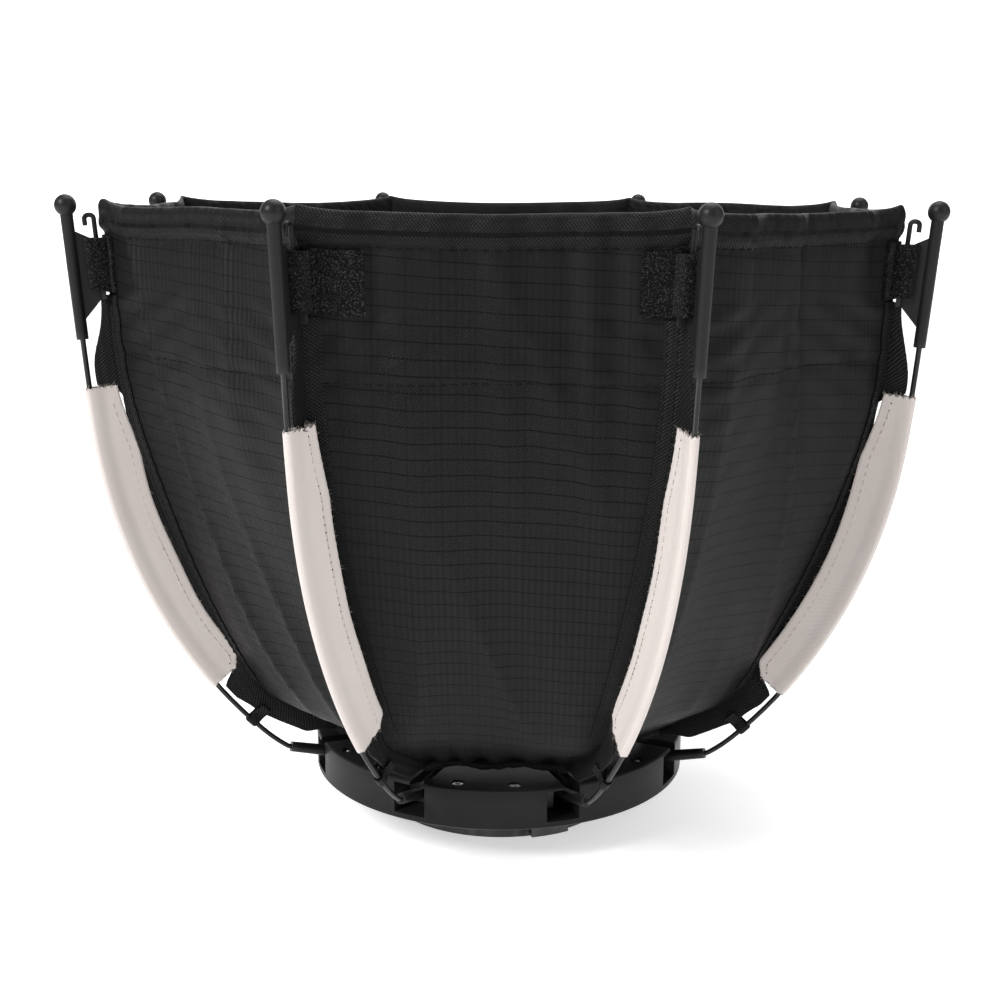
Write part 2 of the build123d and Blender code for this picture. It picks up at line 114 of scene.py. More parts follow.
# ------------------------------------------------------------------ properties
class BagSettings(bpy.types.PropertyGroup):
    """Cloth of the bag."""
    columns: IntProperty(name="Columns", description="Cells across half a panel", default=30, min=6)
    row_gap: FloatProperty(name="Row Gap", description="Height of a cell", default=1.6 * MM, unit="LENGTH")
    thickness: FloatProperty(name="Cloth Thickness", description="Cloth and its silvered lining",
                             default=0.55 * MM, unit="LENGTH")
    slack: FloatProperty(name="Slack", description="Depth of the folds against the pattern",
                         default=1.0, subtype="FACTOR", min=0.0, max=2.0)
    cloth_color: FloatVectorProperty(name="Cloth", description="Outer cloth", subtype="COLOR", size=3,
                                     default=(0.006, 0.006, 0.0063), min=0.0, max=1.0)
    lining_color: FloatVectorProperty(name="Lining", description="Silvered inner face", subtype="COLOR",
                                      size=3, default=(0.56, 0.565, 0.57), min=0.0, max=1.0)


class TrimSettings(bpy.types.PropertyGroup):
    """Sleeves, webbing, tabs and thread."""
    sleeve_width: FloatProperty(name="Sleeve Width", description="From the wire to the sewn edge",
                                default=13.9 * MM, unit="LENGTH")
    sleeve_cloth: FloatProperty(name="Sleeve Cloth", description="Thickness of the twill",
                                default=0.5 * MM, unit="LENGTH")
    stitch: FloatProperty(name="Stitch", description="Length of one stitch", default=2.5 * MM, unit="LENGTH")
    stitch_gap: FloatProperty(name="Stitch Gap", description="Cloth between stitches",
                              default=0.8 * MM, unit="LENGTH")
    thread: FloatProperty(name="Thread Radius", description="Sewing thread", default=0.24 * MM, unit="LENGTH")
    sleeve_color: FloatVectorProperty(name="Sleeve", description="Rib sleeves", subtype="COLOR", size=3,
                                      default=(0.68, 0.615, 0.585), min=0.0, max=1.0)
    webbing_color: FloatVectorProperty(name="Webbing", description="Tapes, loops and elastic",
                                       subtype="COLOR", size=3, default=(0.006, 0.006, 0.0063),
                                       min=0.0, max=1.0)


class StageSettings(bpy.types.PropertyGroup):
    """Floor, light and camera."""
    floor_size: FloatProperty(name="Floor", description="Width of the floor", default=8.0, unit="LENGTH")
    floor_color: FloatVectorProperty(name="Floor Colour", description="Pale paper", subtype="COLOR", size=3,
                                     default=(0.93, 0.93, 0.93), min=0.0, max=1.0)
    key_power: FloatProperty(name="Key", description="Main soft light", default=19.0, unit="POWER")
    fill_power: FloatProperty(name="Fill", description="Second soft light", default=5.0, unit="POWER")
    sky: FloatProperty(name="Sky", description="Strength of the even light", default=0.22)
    lens: FloatProperty(name="Lens", description="Focal length", default=51.9, unit="CAMERA")
    camera_place: FloatVectorProperty(name="Camera", description="Where the camera stands", size=3,
                                      default=(0.0129, -0.5727, 0.2513), subtype="XYZ", unit="LENGTH")
    camera_down: FloatProperty(name="Camera Down", description="Degrees below level", default=12.42)
    camera_left: FloatProperty(name="Camera Left", description="Degrees turned left", default=1.33)
    camera_roll: FloatProperty(name="Camera Roll", description="Degrees rolled", default=0.43)


# ------------------------------------------------------------------ lines and relief
def bend_line(start, slope, steps, spacing, out=0.0):
    """Points, slopes and running lengths along straights and tangent bends, in the radial plane."""
    r, z, angle, gone = start[0], start[1], math.radians(slope), 0.0
    rows = []
    for number, (length, turn) in enumerate(steps):
        length, turn = length * MM, math.radians(turn)
        count = max(1, round(length / spacing))
        for k in range(0 if number == 0 else 1, count + 1):
            part = k / count
            now = angle + turn * part
            if turn:
                radius = length / turn
                dr = radius * (math.sin(now) - math.sin(angle))
                dz = radius * (math.cos(angle) - math.cos(now))
            else:
                dr, dz = length * part * math.cos(angle), length * part * math.sin(angle)
            rows.append((r + dr, z + dz, now, gone + length * part))
        r, z = rows[-1][0], rows[-1][1]
        angle, gone = angle + turn, gone + length
    rows = np.array(rows)
    rows[:, 0] += out * np.sin(rows[:, 2])
    rows[:, 1] -= out * np.cos(rows[:, 2])
    return rows


def wire_line(spacing=1.5 * MM):
    """The rib's wire from the mouth of its rod."""
    slope = math.radians(ROD_SLOPE)
    start = (HINGE_R + ROD_LENGTH * MM * math.cos(slope), HINGE_Z + ROD_LENGTH * MM * math.sin(slope))
    return bend_line(start, ROD_SLOPE, RIB_LINE, spacing)


def drift(x, y, seed, waves=7):
    """Smooth wandering values between about -1 and 1 over two lengths."""
    pick = random.Random(seed)
    total = np.zeros(np.broadcast(x, y).shape)
    for _ in range(waves):
        turn, speed = pick.uniform(0, 2 * math.pi), pick.uniform(0.55, 1.7)
        phase = pick.uniform(0, 2 * math.pi)
        total = total + np.sin((x * math.cos(turn) + y * math.sin(turn)) * speed + phase)
    return total / math.sqrt(waves * 1.6)


def ramp(x, low, high):
    """A smooth step from 0 at low to 1 at high."""
    t = np.clip((x - low) / (high - low), 0, 1)
    return t * t * (3 - 2 * t)


def unit(v):
    return v / np.maximum(np.linalg.norm(v, axis=-1, keepdims=True), 1e-12)


def directions(azimuth):
    """Outward and anticlockwise unit vectors at an azimuth."""
    out = np.array([math.cos(azimuth), math.sin(azimuth), 0.0])
    round_it = np.array([-math.sin(azimuth), math.cos(azimuth), 0.0])
    return out, round_it


UP = np.array([0.0, 0.0, 1.0])


def panel_relief(number, s, t, reach, length, slack):
    """How far the sewn cloth stands out of its flat pattern, in metres."""
    edge = 1 - np.clip(np.abs(t) / reach, 0, 1) ** 5
    side = reach - np.abs(t)
    top = length - s
    across = 1 - (t / reach) ** 2
    belly = 2.3 * np.sin(np.pi * np.clip((s - 34 * MM) / (120 * MM), 0, 1)) * across
    sag = -1.7 * ramp(s, 140 * MM, 200 * MM) * across
    wide = 2.3 * drift(t / (15 * MM), s / (32 * MM), 10 + number) * ramp(s, 8 * MM, 40 * MM)
    sharp = drift(t / (9 * MM) + s / (46 * MM), s / (60 * MM), 25 + number)
    sharp = 2.0 * (1 - np.abs(sharp)) ** 2 * ramp(s, 25 * MM, 60 * MM)
    upright = 1.0 * drift(t / (3.2 * MM), s / (42 * MM), 40 + number) * ramp(s, 120 * MM, 185 * MM)
    tucks = 0.3 * np.sin(2 * np.pi * t / (4.4 * MM) + 2.2 * drift(t / (20 * MM), s / (9 * MM), 70 + number))
    tucks = tucks * (np.exp(-top / (5 * MM)) + 0.6 * np.exp(-np.abs(top - UPPER_BAND) / (3.5 * MM)))
    away = np.hypot(side, top - TAB_DROP)
    pull = 1.25 * np.cos(2 * np.pi * (0.42 * side + 0.9 * (top - TAB_DROP)) / (11 * MM)
                         + drift(side / (15 * MM), top / (22 * MM), 90 + number))
    pull = pull * np.exp(-away / (24 * MM)) * ramp(away, 2 * MM, 14 * MM) * ramp(top, 14 * MM, 24 * MM)
    seam = 0.5 * np.sin(2 * np.pi * s / (7.3 * MM) + drift(s / (18 * MM), t / (8 * MM), 120 + number))
    seam = seam * np.exp(-side / (5.5 * MM)) * ramp(side, 0.0, 2.5 * MM)
    gather = np.sin(2 * np.pi * t / (10.5 * MM) + 1.3 * drift(t / (11 * MM), s / (26 * MM), 150 + number))
    gather = (1.1 * gather - 0.2) * np.exp(-((s / (20 * MM)) ** 2))
    crease = -0.45 * (np.exp(-((top - UPPER_BAND) / (1.6 * MM)) ** 2)
                      + np.exp(-((top - 1.2 * MM) / (1.5 * MM)) ** 2))
    total = crease + belly + sag + wide + sharp + upright + tucks + pull + seam + gather
    return slack * total * edge * MM


class Panel:
    """The displaced outer face of one panel as a grid, rows up the bag and columns across."""

    def __init__(self, number, bag):
        self.number = number
        self.azimuth = 2 * HALF * number
        self.out, self.across = directions(self.azimuth)
        line = bend_line((FOOT_R, FOOT_Z), BAG_SLOPE, BAG_LINE, bag.row_gap)
        r, z, slope, s = (line[:, [k]] for k in range(4))
        self.s, self.reach, self.length = s[:, 0], r[:, 0] * math.tan(HALF), s[-1, 0]
        self.columns = bag.columns
        share = np.linspace(-1, 1, 2 * bag.columns + 1)[None, :]
        t = share * self.reach[:, None]
        rise = panel_relief(number, s, t, self.reach[:, None], self.length, bag.slack)
        flare = 0.9 * MM * np.exp(-(self.reach[:, None] - np.abs(t)) / (2.2 * MM))
        droop = -1.5 * MM * ramp(s, self.length - 30 * MM, self.length) * (1 - share ** 4)
        droop = droop + 0.7 * MM * ramp(s, self.length - 20 * MM, self.length) * drift(
            t / (16 * MM), s * 0, 180 + number) * (1 - share ** 2)
        out = r + rise * np.sin(slope) + flare * math.cos(HALF)
        side = t + np.sign(share) * flare * math.sin(HALF)
        up = z - rise * np.cos(slope) + droop
        self.points = (out[..., None] * self.out + side[..., None] * self.across + up[..., None] * UP)
        self.normals = grid_normals(self.points)
        self.plan = np.dstack([t / MM, np.broadcast_to(s / MM, t.shape)])
        self.flat_area = float(((self.reach[1:] + self.reach[:-1]) / 2 * np.diff(self.s)).sum())

    def at(self, side, inset, s):
        """Point and normal at a distance in from the rib line on one side, at a length up the bag."""
        row = np.interp(s, self.s, np.arange(len(self.s)))
        reach = np.interp(s, self.s, self.reach)
        column = self.columns * (1 + side * (1 - inset / reach))
        i0 = np.clip(np.floor(row).astype(int), 0, len(self.s) - 2)
        j0 = np.clip(np.floor(column).astype(int), 0, 2 * self.columns - 1)
        a, b = (row - i0)[..., None], (column - j0)[..., None]

        def mix(grid):
            low = grid[i0, j0] * (1 - b) + grid[i0, j0 + 1] * b
            high = grid[i0 + 1, j0] * (1 - b) + grid[i0 + 1, j0 + 1] * b
            return low * (1 - a) + high * a

        return mix(self.points), unit(mix(self.normals))

    def rib_on(self, side):
        """The rib's body on one side: -1 clockwise, 1 anticlockwise."""
        return f"rib_{(self.number - 1) % RIBS + 1}" if side < 0 else f"rib_{self.number % RIBS + 1}"

    def follow(self, piece, side):
        """Bakes the piece's placement into its mesh; the piece stays put."""
        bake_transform(piece)


def grid_normals(points, wrap=False):
    """Unit normals of a grid, columns closed into a loop if wrap."""
    if wrap:
        padded = np.concatenate([points[:, -1:], points, points[:, :1]], axis=1)
        across = padded[:, 2:] - padded[:, :-2]
    else:
        across = np.gradient(points, axis=1)
    return unit(np.cross(across, np.gradient(points, axis=0)))


# ------------------------------------------------------------------ mesh building
class Skin:
    """Collects faces with their own normals and plan coordinates, then makes one mesh."""

    def __init__(self):
        self.points, self.faces, self.normals, self.plans, self.finishes = [], [], [], [], []

    def add(self, points):
        first = len(self.points)
        points = np.asarray(points)
        self.points += points.reshape(-1, 3).tolist()
        return first + np.arange(points[..., 0].size).reshape(points.shape[:-1])

    def grid(self, ids, normals, plan, finish=0, flip=False, wrap=False):
        rows, columns = ids.shape
        for i in range(rows - 1):
            for j in range(columns if wrap else columns - 1):
                k = (j + 1) % columns
                corners = [(i, j), (i, k), (i + 1, k), (i + 1, j)]
                if flip:
                    corners.reverse()
                self.faces.append([int(ids[c]) for c in corners])
                self.normals += [normals[c].tolist() for c in corners]
                self.plans += [plan[c].tolist() for c in corners]
                self.finishes.append(finish)

    def cap(self, ids, toward, finish=0):
        """One flat face over a loop, facing toward."""
        loop = [self.points[i] for i in ids]
        area = np.zeros(3)
        for a, b in zip(loop, loop[1:] + loop[:1]):
            area = area + np.cross(a, b)
        ids = list(ids) if np.dot(area, toward) > 0 else list(ids)[::-1]
        self.faces.append([int(i) for i in ids])
        self.normals += [list(unit(np.asarray(toward, float)))] * len(ids)
        self.plans += [[0.0, 0.0]] * len(ids)
        self.finishes.append(finish)

    def rim(self, a, b):
        """A strip of faces between two matching rows of points."""
        for k in range(len(a) - 1):
            quad = [int(a[k]), int(a[k + 1]), int(b[k + 1]), int(b[k])]
            p = [np.array(self.points[i]) for i in quad]
            normal = np.cross(p[2] - p[0], p[3] - p[1])
            self.faces.append(quad)
            self.normals += [list(unit(normal))] * 4
            self.plans += [[0.0, 0.0]] * 4
            self.finishes.append(0)

    def shell(self, outer, normals, plan, thickness, inner_finish=0, inner=None):
        """A closed sheet: a face, a second face under it, and its four rims."""
        under = outer - normals * thickness if inner is None else inner
        top, low = self.add(outer), self.add(under)
        self.grid(top, normals, plan)
        self.grid(low, -normals, plan, finish=inner_finish, flip=True)
        self.rim(top[0, ::-1], low[0, ::-1])
        self.rim(top[-1], low[-1])
        self.rim(top[:, 0], low[:, 0])
        self.rim(top[::-1, -1], low[::-1, -1])

    def sweep(self, rings, normals=None, plan=None, ends=(True, True), finish=0):
        """A closed tube through rings of points."""
        rings = np.asarray(rings)
        if normals is None:
            normals = outward(rings)
        if plan is None:
            plan = sweep_plan(rings)
        ids = self.add(rings)
        sense = np.cross(np.roll(rings, -1, axis=1) - rings, np.gradient(rings, axis=0))
        flip = float((sense * normals).sum()) < 0
        self.grid(ids, normals, plan, finish=finish, flip=flip, wrap=True)
        if ends[0]:
            self.cap(ids[0], rings[0].mean(0) - rings[1].mean(0), finish=finish)
        if ends[1]:
            self.cap(ids[-1], rings[-1].mean(0) - rings[-2].mean(0), finish=finish)

    def make(self, name, finishes, slot):
        mesh = bpy.data.meshes.new(name)
        mesh.from_pydata(self.points, [], self.faces)
        plan = mesh.uv_layers.new(name="plan")
        plan.data.foreach_set("uv", np.array(self.plans, np.float32).ravel())
        for finish in finishes:
            mesh.materials.append(finish)
        mesh.polygons.foreach_set("material_index", self.finishes)
        mesh.shade_smooth()
        mesh.normals_split_custom_set(self.normals)
        mesh.update()
        piece = bpy.data.objects.new(name, mesh)
        bpy.context.scene.collection.objects.link(piece)
        return piece


def outward(rings):
    """Normals of a tube through rings, pointing away from their middles."""
    normals = grid_normals(rings, wrap=True)
    away = rings - rings.mean(axis=1, keepdims=True)
    return normals if float((normals * away).sum()) > 0 else -normals


def sweep_plan(rings):
    """Length along and round a tube, in millimetres."""
    middle = rings.mean(axis=1)
    along = np.concatenate([[0], np.cumsum(np.linalg.norm(np.diff(middle, axis=0), axis=1))])
    round_it = np.linalg.norm(np.diff(rings, axis=1, prepend=rings[:, -1:]), axis=2).cumsum(axis=1)
    return np.dstack([round_it / MM, np.broadcast_to(along[:, None] / MM, round_it.shape)])


def stitches(skin, points, normals, trim, radius=None, depth=0.0):
    """Thread along a seam: short arched stitches that dip into the cloth at both ends."""
    radius = radius or trim.thread
    gone = np.concatenate([[0], np.cumsum(np.linalg.norm(np.diff(points, axis=0), axis=1))])

    def place(at):
        return np.array([np.interp(at, gone, points[:, k]) for k in range(3)])

    def face(at):
        return unit(np.array([np.interp(at, gone, normals[:, k]) for k in range(3)]))

    at = trim.stitch_gap
    while at + trim.stitch < gone[-1]:
        rings = []
        for part, lift, thick in ((0.0, -0.6, 0.6), (0.2, 0.5, 1.0), (0.8, 0.5, 1.0), (1.0, -0.6, 0.6)):
            here = at + part * trim.stitch
            n, ahead = face(here), unit(place(here + 1e-4) - place(here - 1e-4))
            side = np.cross(n, ahead)
            middle = place(here) + n * (lift * radius + depth)
            turns = np.arange(6) * math.pi / 3
            rings.append([middle + radius * thick * (math.cos(a) * side + math.sin(a) * n)
                          for a in turns])
        skin.sweep(np.array(rings))
        at += trim.stitch + trim.stitch_gap


def needle_hole_shade(skin, place, normal, ahead, radius):
    """A small dark disc beside a stitch: painted shade where the thread dips into the cloth."""
    side = np.cross(normal, ahead)
    rings = []
    for lift, size in ((-0.12 * MM, 1.0), (0.05 * MM, 0.8)):
        turns = np.arange(8) * math.pi / 4
        rings.append([place + normal * lift + radius * size * (1.3 * math.cos(a) * ahead + math.sin(a) * side)
                      for a in turns])
    skin.sweep(np.array(rings), finish=1)


def fibres(skin, roots, normals, seed, length, radius, spread=0.8):
    """Loose curled fibres that stand on a surface."""
    pick = random.Random(seed)
    for root, normal in zip(roots, normals):
        lean = np.array([pick.uniform(-1, 1) for _ in range(3)])
        heading = unit(normal + spread * lean)
        curl = unit(np.cross(heading, np.array([pick.uniform(-1, 1) for _ in range(3)])))
        size = length * pick.uniform(0.5, 1.3)
        rings = []
        for part in (0.0, 0.35, 0.7, 1.0):
            middle = root + heading * size * part + curl * size * 0.5 * part * part
            side = np.cross(heading, curl)
            thick = radius * (1.0 - 0.55 * part)
            rings.append([middle + thick * (math.cos(a) * side + math.sin(a) * curl)
                          for a in (0.0, 2.1, 4.2)])
        skin.sweep(np.array(rings))


# ------------------------------------------------------------------ shader building
class Tree:
    """A short way to add and join nodes."""

    def __init__(self, tree):
        self.tree = tree

    def add(self, kind, *inputs, **settings):
        node = self.tree.nodes.new(kind)
        for name, value in settings.items():
            setattr(node, name, value)
        for key, value in enumerate(inputs):
            self.put(node.inputs[key], value)
        return node

    def put(self, socket, value):
        if isinstance(value, bpy.types.NodeSocket):
            self.tree.links.new(value, socket)
        elif value is not None:
            socket.default_value = value

    def math(self, operation, *values):
        return self.add("ShaderNodeMath", *values, operation=operation).outputs[0]

    def mix(self, factor, a, b):
        node = self.add("ShaderNodeMix", data_type="RGBA")
        self.put(node.inputs["Factor"], factor)
        self.put(node.inputs["A"], (*a, 1.0) if isinstance(a, (tuple, list)) else a)
        self.put(node.inputs["B"], (*b, 1.0) if isinstance(b, (tuple, list)) else b)
        return node.outputs["Result"]

    def remap(self, value, low, high, to_low, to_high):
        node = self.add("ShaderNodeMapRange", value, low, high, to_low, to_high)
        return node.outputs[0]

    def group(self, name, **values):
        node = self.tree.nodes.new("ShaderNodeGroup")
        node.node_tree = bpy.data.node_groups[name]
        for key, value in values.items():
            self.put(node.inputs[key.replace("_", " ").title()], value)
        return node


def new_group(name, inputs, outputs):
    """A shader node group with float or vector sockets; returns it with its ends."""
    tree = bpy.data.node_groups.new(name, "ShaderNodeTree")
    for label, default in inputs:
        kind = "NodeSocketVector" if default is None else "NodeSocketFloat"
        socket = tree.interface.new_socket(name=label, in_out="INPUT", socket_type=kind)
        if default is not None:
            socket.default_value = default
    for label in outputs:
        tree.interface.new_socket(name=label, in_out="OUTPUT", socket_type="NodeSocketFloat")
    build = Tree(tree)
    return build, build.add("NodeGroupInput").outputs, build.add("NodeGroupOutput").inputs


def weave_group():
    """Threads of a cloth from its plan in millimetres, plain or twill, with stronger ripstop lines."""
    build, given, result = new_group(
        "cloth_weave", [("Plan", None), ("Pitch", 0.8), ("Twill", 0.0), ("Grid", 5.0)],
        ["Height", "Line"])
    plan = build.add("ShaderNodeSeparateXYZ", given["Plan"]).outputs
    turn = build.math("DIVIDE", 2 * math.pi, given["Pitch"])
    level = build.math("ADD", plan[1], build.math("MULTIPLY", plan[0], 0.06))
    u, v = (build.math("MULTIPLY", axis, turn) for axis in (plan[0], level))
    plain = build.math("MULTIPLY", build.math("SINE", u), build.math("SINE", v))
    slanted = build.math("SINE", build.math("ADD", build.math("MULTIPLY", u, 0.62), v))
    fine = build.math("MULTIPLY", build.math("SINE", build.math("MULTIPLY", u, 2.0)), 0.25)
    slanted = build.math("ADD", slanted, fine)
    stay = build.math("SUBTRACT", 1.0, given["Twill"])
    weave = build.math("ADD", build.math("MULTIPLY", plain, stay),
                       build.math("MULTIPLY", slanted, given["Twill"]))
    lines = []
    for axis in (plan[0], level):
        cell = build.math("PINGPONG", axis, build.math("MULTIPLY", given["Grid"], 0.5))
        lines.append(build.remap(cell, 0.05, 0.3, 1.0, 0.0))
    line = build.math("MAXIMUM", lines[1], build.math("MULTIPLY", lines[0], 0.18))
    build.put(result["Height"], build.math("ADD", weave, build.math("MULTIPLY", line, -0.9)))
    build.put(result["Line"], line)


def patches_group():
    """Slow variation of tone over a surface, from 0 to 1."""
    build, given, result = new_group("soft_patches", [("Place", None), ("Scale", 30.0)], ["Value"])
    noise = build.add("ShaderNodeTexNoise")
    build.put(noise.inputs["Vector"], given["Place"])
    build.put(noise.inputs["Scale"], given["Scale"])
    noise.inputs["Detail"].default_value = 4.0
    build.put(result["Value"], build.remap(noise.outputs[0], 0.3, 0.7, 0.0, 1.0))


def grain_group():
    """Fine grain of a moulded or coated surface, and its worn edges, which also carry a painted edge
    highlight.
    """
    build, given, result = new_group("moulded_grain", [("Place", None), ("Scale", 900.0)], ["Height", "Edge"])
    noise = build.add("ShaderNodeTexNoise")
    build.put(noise.inputs["Vector"], given["Place"])
    build.put(noise.inputs["Scale"], given["Scale"])
    noise.inputs["Detail"].default_value = 3.0
    bumps = build.add("ShaderNodeTexVoronoi", feature="SMOOTH_F1")
    build.put(bumps.inputs["Vector"], given["Place"])
    build.put(bumps.inputs["Scale"], build.math("MULTIPLY", given["Scale"], 0.7))
    build.put(result["Height"], build.math("ADD", noise.outputs[0],
                                           build.math("MULTIPLY", bumps.outputs[0], 0.6)))
    # convex edges from pointiness: partly real wear, partly a painted edge highlight
    point = build.add("ShaderNodeNewGeometry").outputs["Pointiness"]
    build.put(result["Edge"], build.remap(point, 0.52, 0.62, 0.0, 1.0))


def new_finish(name, **constants):
    """A material with a Principled shader; constants are put on its own sockets."""
    finish = bpy.data.materials.new(name)
    finish.use_nodes = True
    build = Tree(finish.node_tree)
    shader = next(n for n in finish.node_tree.nodes if n.type == "BSDF_PRINCIPLED")
    for key, value in constants.items():
        shader.inputs[key.replace("_", " ").title().replace("Ior", "IOR")].default_value = value
    return finish, build, shader


def bump(build, shader, height, strength, distance):
    node = build.add("ShaderNodeBump")
    node.inputs["Strength"].default_value = strength
    node.inputs["Distance"].default_value = distance
    build.put(node.inputs["Height"], height)
    build.put(shader.inputs["Normal"], node.outputs[0])


def plan_of(build):
    return build.add("ShaderNodeUVMap", uv_map="plan").outputs[0]


def place_of(build):
    return build.add("ShaderNodeTexCoord").outputs["Object"]


def cloth_finish(name, color, light, pitch, twill, grid, rough, depth, sheen):
    """Woven cloth: threads and ripstop lines in tone, gloss and relief."""
    finish, build, shader = new_finish(name, sheen_weight=sheen, sheen_roughness=0.45)
    weave = build.group("cloth_weave", plan=plan_of(build), pitch=pitch, twill=twill, grid=grid)
    cloud = build.group("soft_patches", place=place_of(build), scale=38.0).outputs[0]
    height = weave.outputs["Height"]
    thread = build.remap(height, -1.0, 1.4, 0.0, 1.0)
    tone = build.mix(thread, tuple(c * 0.72 for c in color), tuple(c * light for c in color))
    tone = build.mix(build.math("MULTIPLY", cloud, 0.25), tone, tuple(c * light for c in color))
    tone = build.mix(build.math("MULTIPLY", weave.outputs["Line"], 0.7), tone, tuple(c * 0.3 for c in color))
    build.put(shader.inputs["Base Color"], tone)
    gloss = build.math("ADD", build.remap(cloud, 0.0, 1.0, rough - 0.05, rough + 0.05),
                       build.math("MULTIPLY", thread, -0.06))
    build.put(shader.inputs["Roughness"], gloss)
    build.put(shader.inputs["Specular IOR Level"], build.remap(thread, 0.4, 0.85, 0.06, 0.34))
    bump(build, shader, height, 0.8, depth)
    return finish


def twill_finish(color):
    """Undyed twill: slanting ribs, soft soiling, faint lengthwise bands."""
    finish, build, shader = new_finish("sleeve_twill", sheen_weight=0.25, sheen_roughness=0.5)
    weave = build.group("cloth_weave", plan=plan_of(build), pitch=0.62, twill=1.0, grid=400.0)
    height = weave.outputs["Height"]
    cloud = build.group("soft_patches", place=place_of(build), scale=60.0).outputs[0]
    thread = build.remap(height, -1.1, 1.1, 0.0, 1.0)
    tone = build.mix(thread, tuple(c * 0.84 for c in color), tuple(min(c * 1.06, 1.0) for c in color))
    soiled = (color[0] * 0.93, color[1] * 0.9, color[2] * 0.88)
    tone = build.mix(build.math("MULTIPLY", cloud, 0.3), tone, soiled)
    build.put(shader.inputs["Base Color"], tone)
    build.put(shader.inputs["Roughness"], build.remap(cloud, 0.0, 1.0, 0.78, 0.9))
    bump(build, shader, height, 0.4, 0.00006)
    return finish


def lining_finish(color):
    """Silvered coating over the weave."""
    finish, build, shader = new_finish("silver_lining")
    weave = build.group("cloth_weave", plan=plan_of(build), pitch=1.1, twill=0.0, grid=5.0)
    cloud = build.group("soft_patches", place=place_of(build), scale=25.0).outputs[0]
    build.put(shader.inputs["Base Color"], build.mix(cloud, tuple(c * 0.86 for c in color), color))
    build.put(shader.inputs["Metallic"], build.remap(cloud, 0.0, 1.0, 0.55, 0.75))
    build.put(shader.inputs["Roughness"], build.remap(weave.outputs["Height"], -1.0, 1.5, 0.36, 0.5))
    bump(build, shader, weave.outputs["Height"], 0.5, 0.0001)
    return finish


def fuzz_finish(color):
    """Hook-and-loop pile."""
    finish, build, shader = new_finish("hook_loop", sheen_weight=0.02, sheen_roughness=0.6,
                                       specular_ior_level=0.12)
    noise = build.add("ShaderNodeTexNoise")
    build.put(noise.inputs["Vector"], place_of(build))
    noise.inputs["Scale"].default_value = 1900.0
    noise.inputs["Detail"].default_value = 6.0
    spots = build.remap(noise.outputs[0], 0.5, 0.66, 0.0, 1.0)
    tone = build.mix(spots, tuple(c * 0.3 for c in color), tuple(c * 8.0 for c in color))
    build.put(shader.inputs["Base Color"], tone)
    build.put(shader.inputs["Roughness"], build.remap(spots, 0.0, 1.0, 0.95, 0.7))
    bump(build, shader, noise.outputs[0], 1.0, 0.0012)
    return finish


def moulded_finish(name, color, worn_edge_and_highlight, rough, scale, depth, metallic, level):
    """Moulded plastic or coated metal with grain and slightly polished edges, lighter there as wear and as a
    painted edge highlight.
    """
    finish, build, shader = new_finish(name, metallic=metallic, specular_ior_level=level)
    place = place_of(build)
    grain = build.group("moulded_grain", place=place, scale=scale)
    cloud = build.group("soft_patches", place=place, scale=45.0).outputs[0]
    tone = build.mix(build.math("MULTIPLY", cloud, 0.5), color, tuple(c * 1.35 for c in color))
    # edges lightened towards the worn colour: real wear and a painted edge highlight
    tone = build.mix(build.math("MULTIPLY", grain.outputs["Edge"], 0.55), tone, worn_edge_and_highlight)
    build.put(shader.inputs["Base Color"], tone)
    gloss = build.math("SUBTRACT", build.remap(cloud, 0.0, 1.0, rough - 0.04, rough + 0.06),
                       build.math("MULTIPLY", grain.outputs["Edge"], 0.1))
    build.put(shader.inputs["Roughness"], gloss)
    bump(build, shader, grain.outputs["Height"], 0.35, depth)
    return finish


def thread_finish(name, color):
    """Twisted sewing thread."""
    finish, build, shader = new_finish(name, sheen_weight=0.03, specular_ior_level=0.15)
    wave = build.add("ShaderNodeTexWave")
    build.put(wave.inputs["Vector"], plan_of(build))
    wave.inputs["Scale"].default_value = 2.4
    ply = wave.outputs["Fac"]
    build.put(shader.inputs["Base Color"], build.mix(ply, tuple(c * 0.5 for c in color), color))
    build.put(shader.inputs["Roughness"], build.remap(ply, 0.0, 1.0, 0.7, 0.5))
    bump(build, shader, ply, 0.4, 0.0001)
    return finish


FINISHES = {}


def finish_of(name):
    return FINISHES[name]


# ------------------------------------------------------------------ pieces
PANELS = []
SIDES = ((-1, "a"), (1, "b"))


def panels():
    """The eight displaced panels, made once."""
    if not PANELS:
        bag = bpy.context.scene.softbox_bag
        PANELS.extend(Panel(n, bag) for n in range(1, RIBS + 1))
    return PANELS


def half_columns(panel, side):
    """The columns of one half, from the middle line to the rib."""
    return slice(0, panel.columns + 1) if side < 0 else slice(panel.columns, 2 * panel.columns + 1)


def sew_panels():
    bag = bpy.context.scene.softbox_bag
    trim = bpy.context.scene.softbox_trim
    cloth, lining = finish_of("bag_cloth"), finish_of("silver_lining")
    for panel in panels():
        for side, letter in SIDES:
            cut = half_columns(panel, side)
            skin = Skin()
            skin.shell(panel.points[:, cut], panel.normals[:, cut], panel.plan[:, cut],
                       bag.thickness, inner_finish=1)
            half = skin.make(f"panel_{panel.number}_{letter}", [cloth, lining], "bag_nylon")
            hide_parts(f"gore_{panel.number}")
            panel.follow(half, side)
            hem = sew_hem(panel, side, letter)
            thread = sew_rows(panel, side, letter, trim)
            f"rib_{panel.rib_on(side)[4:]}_wire"


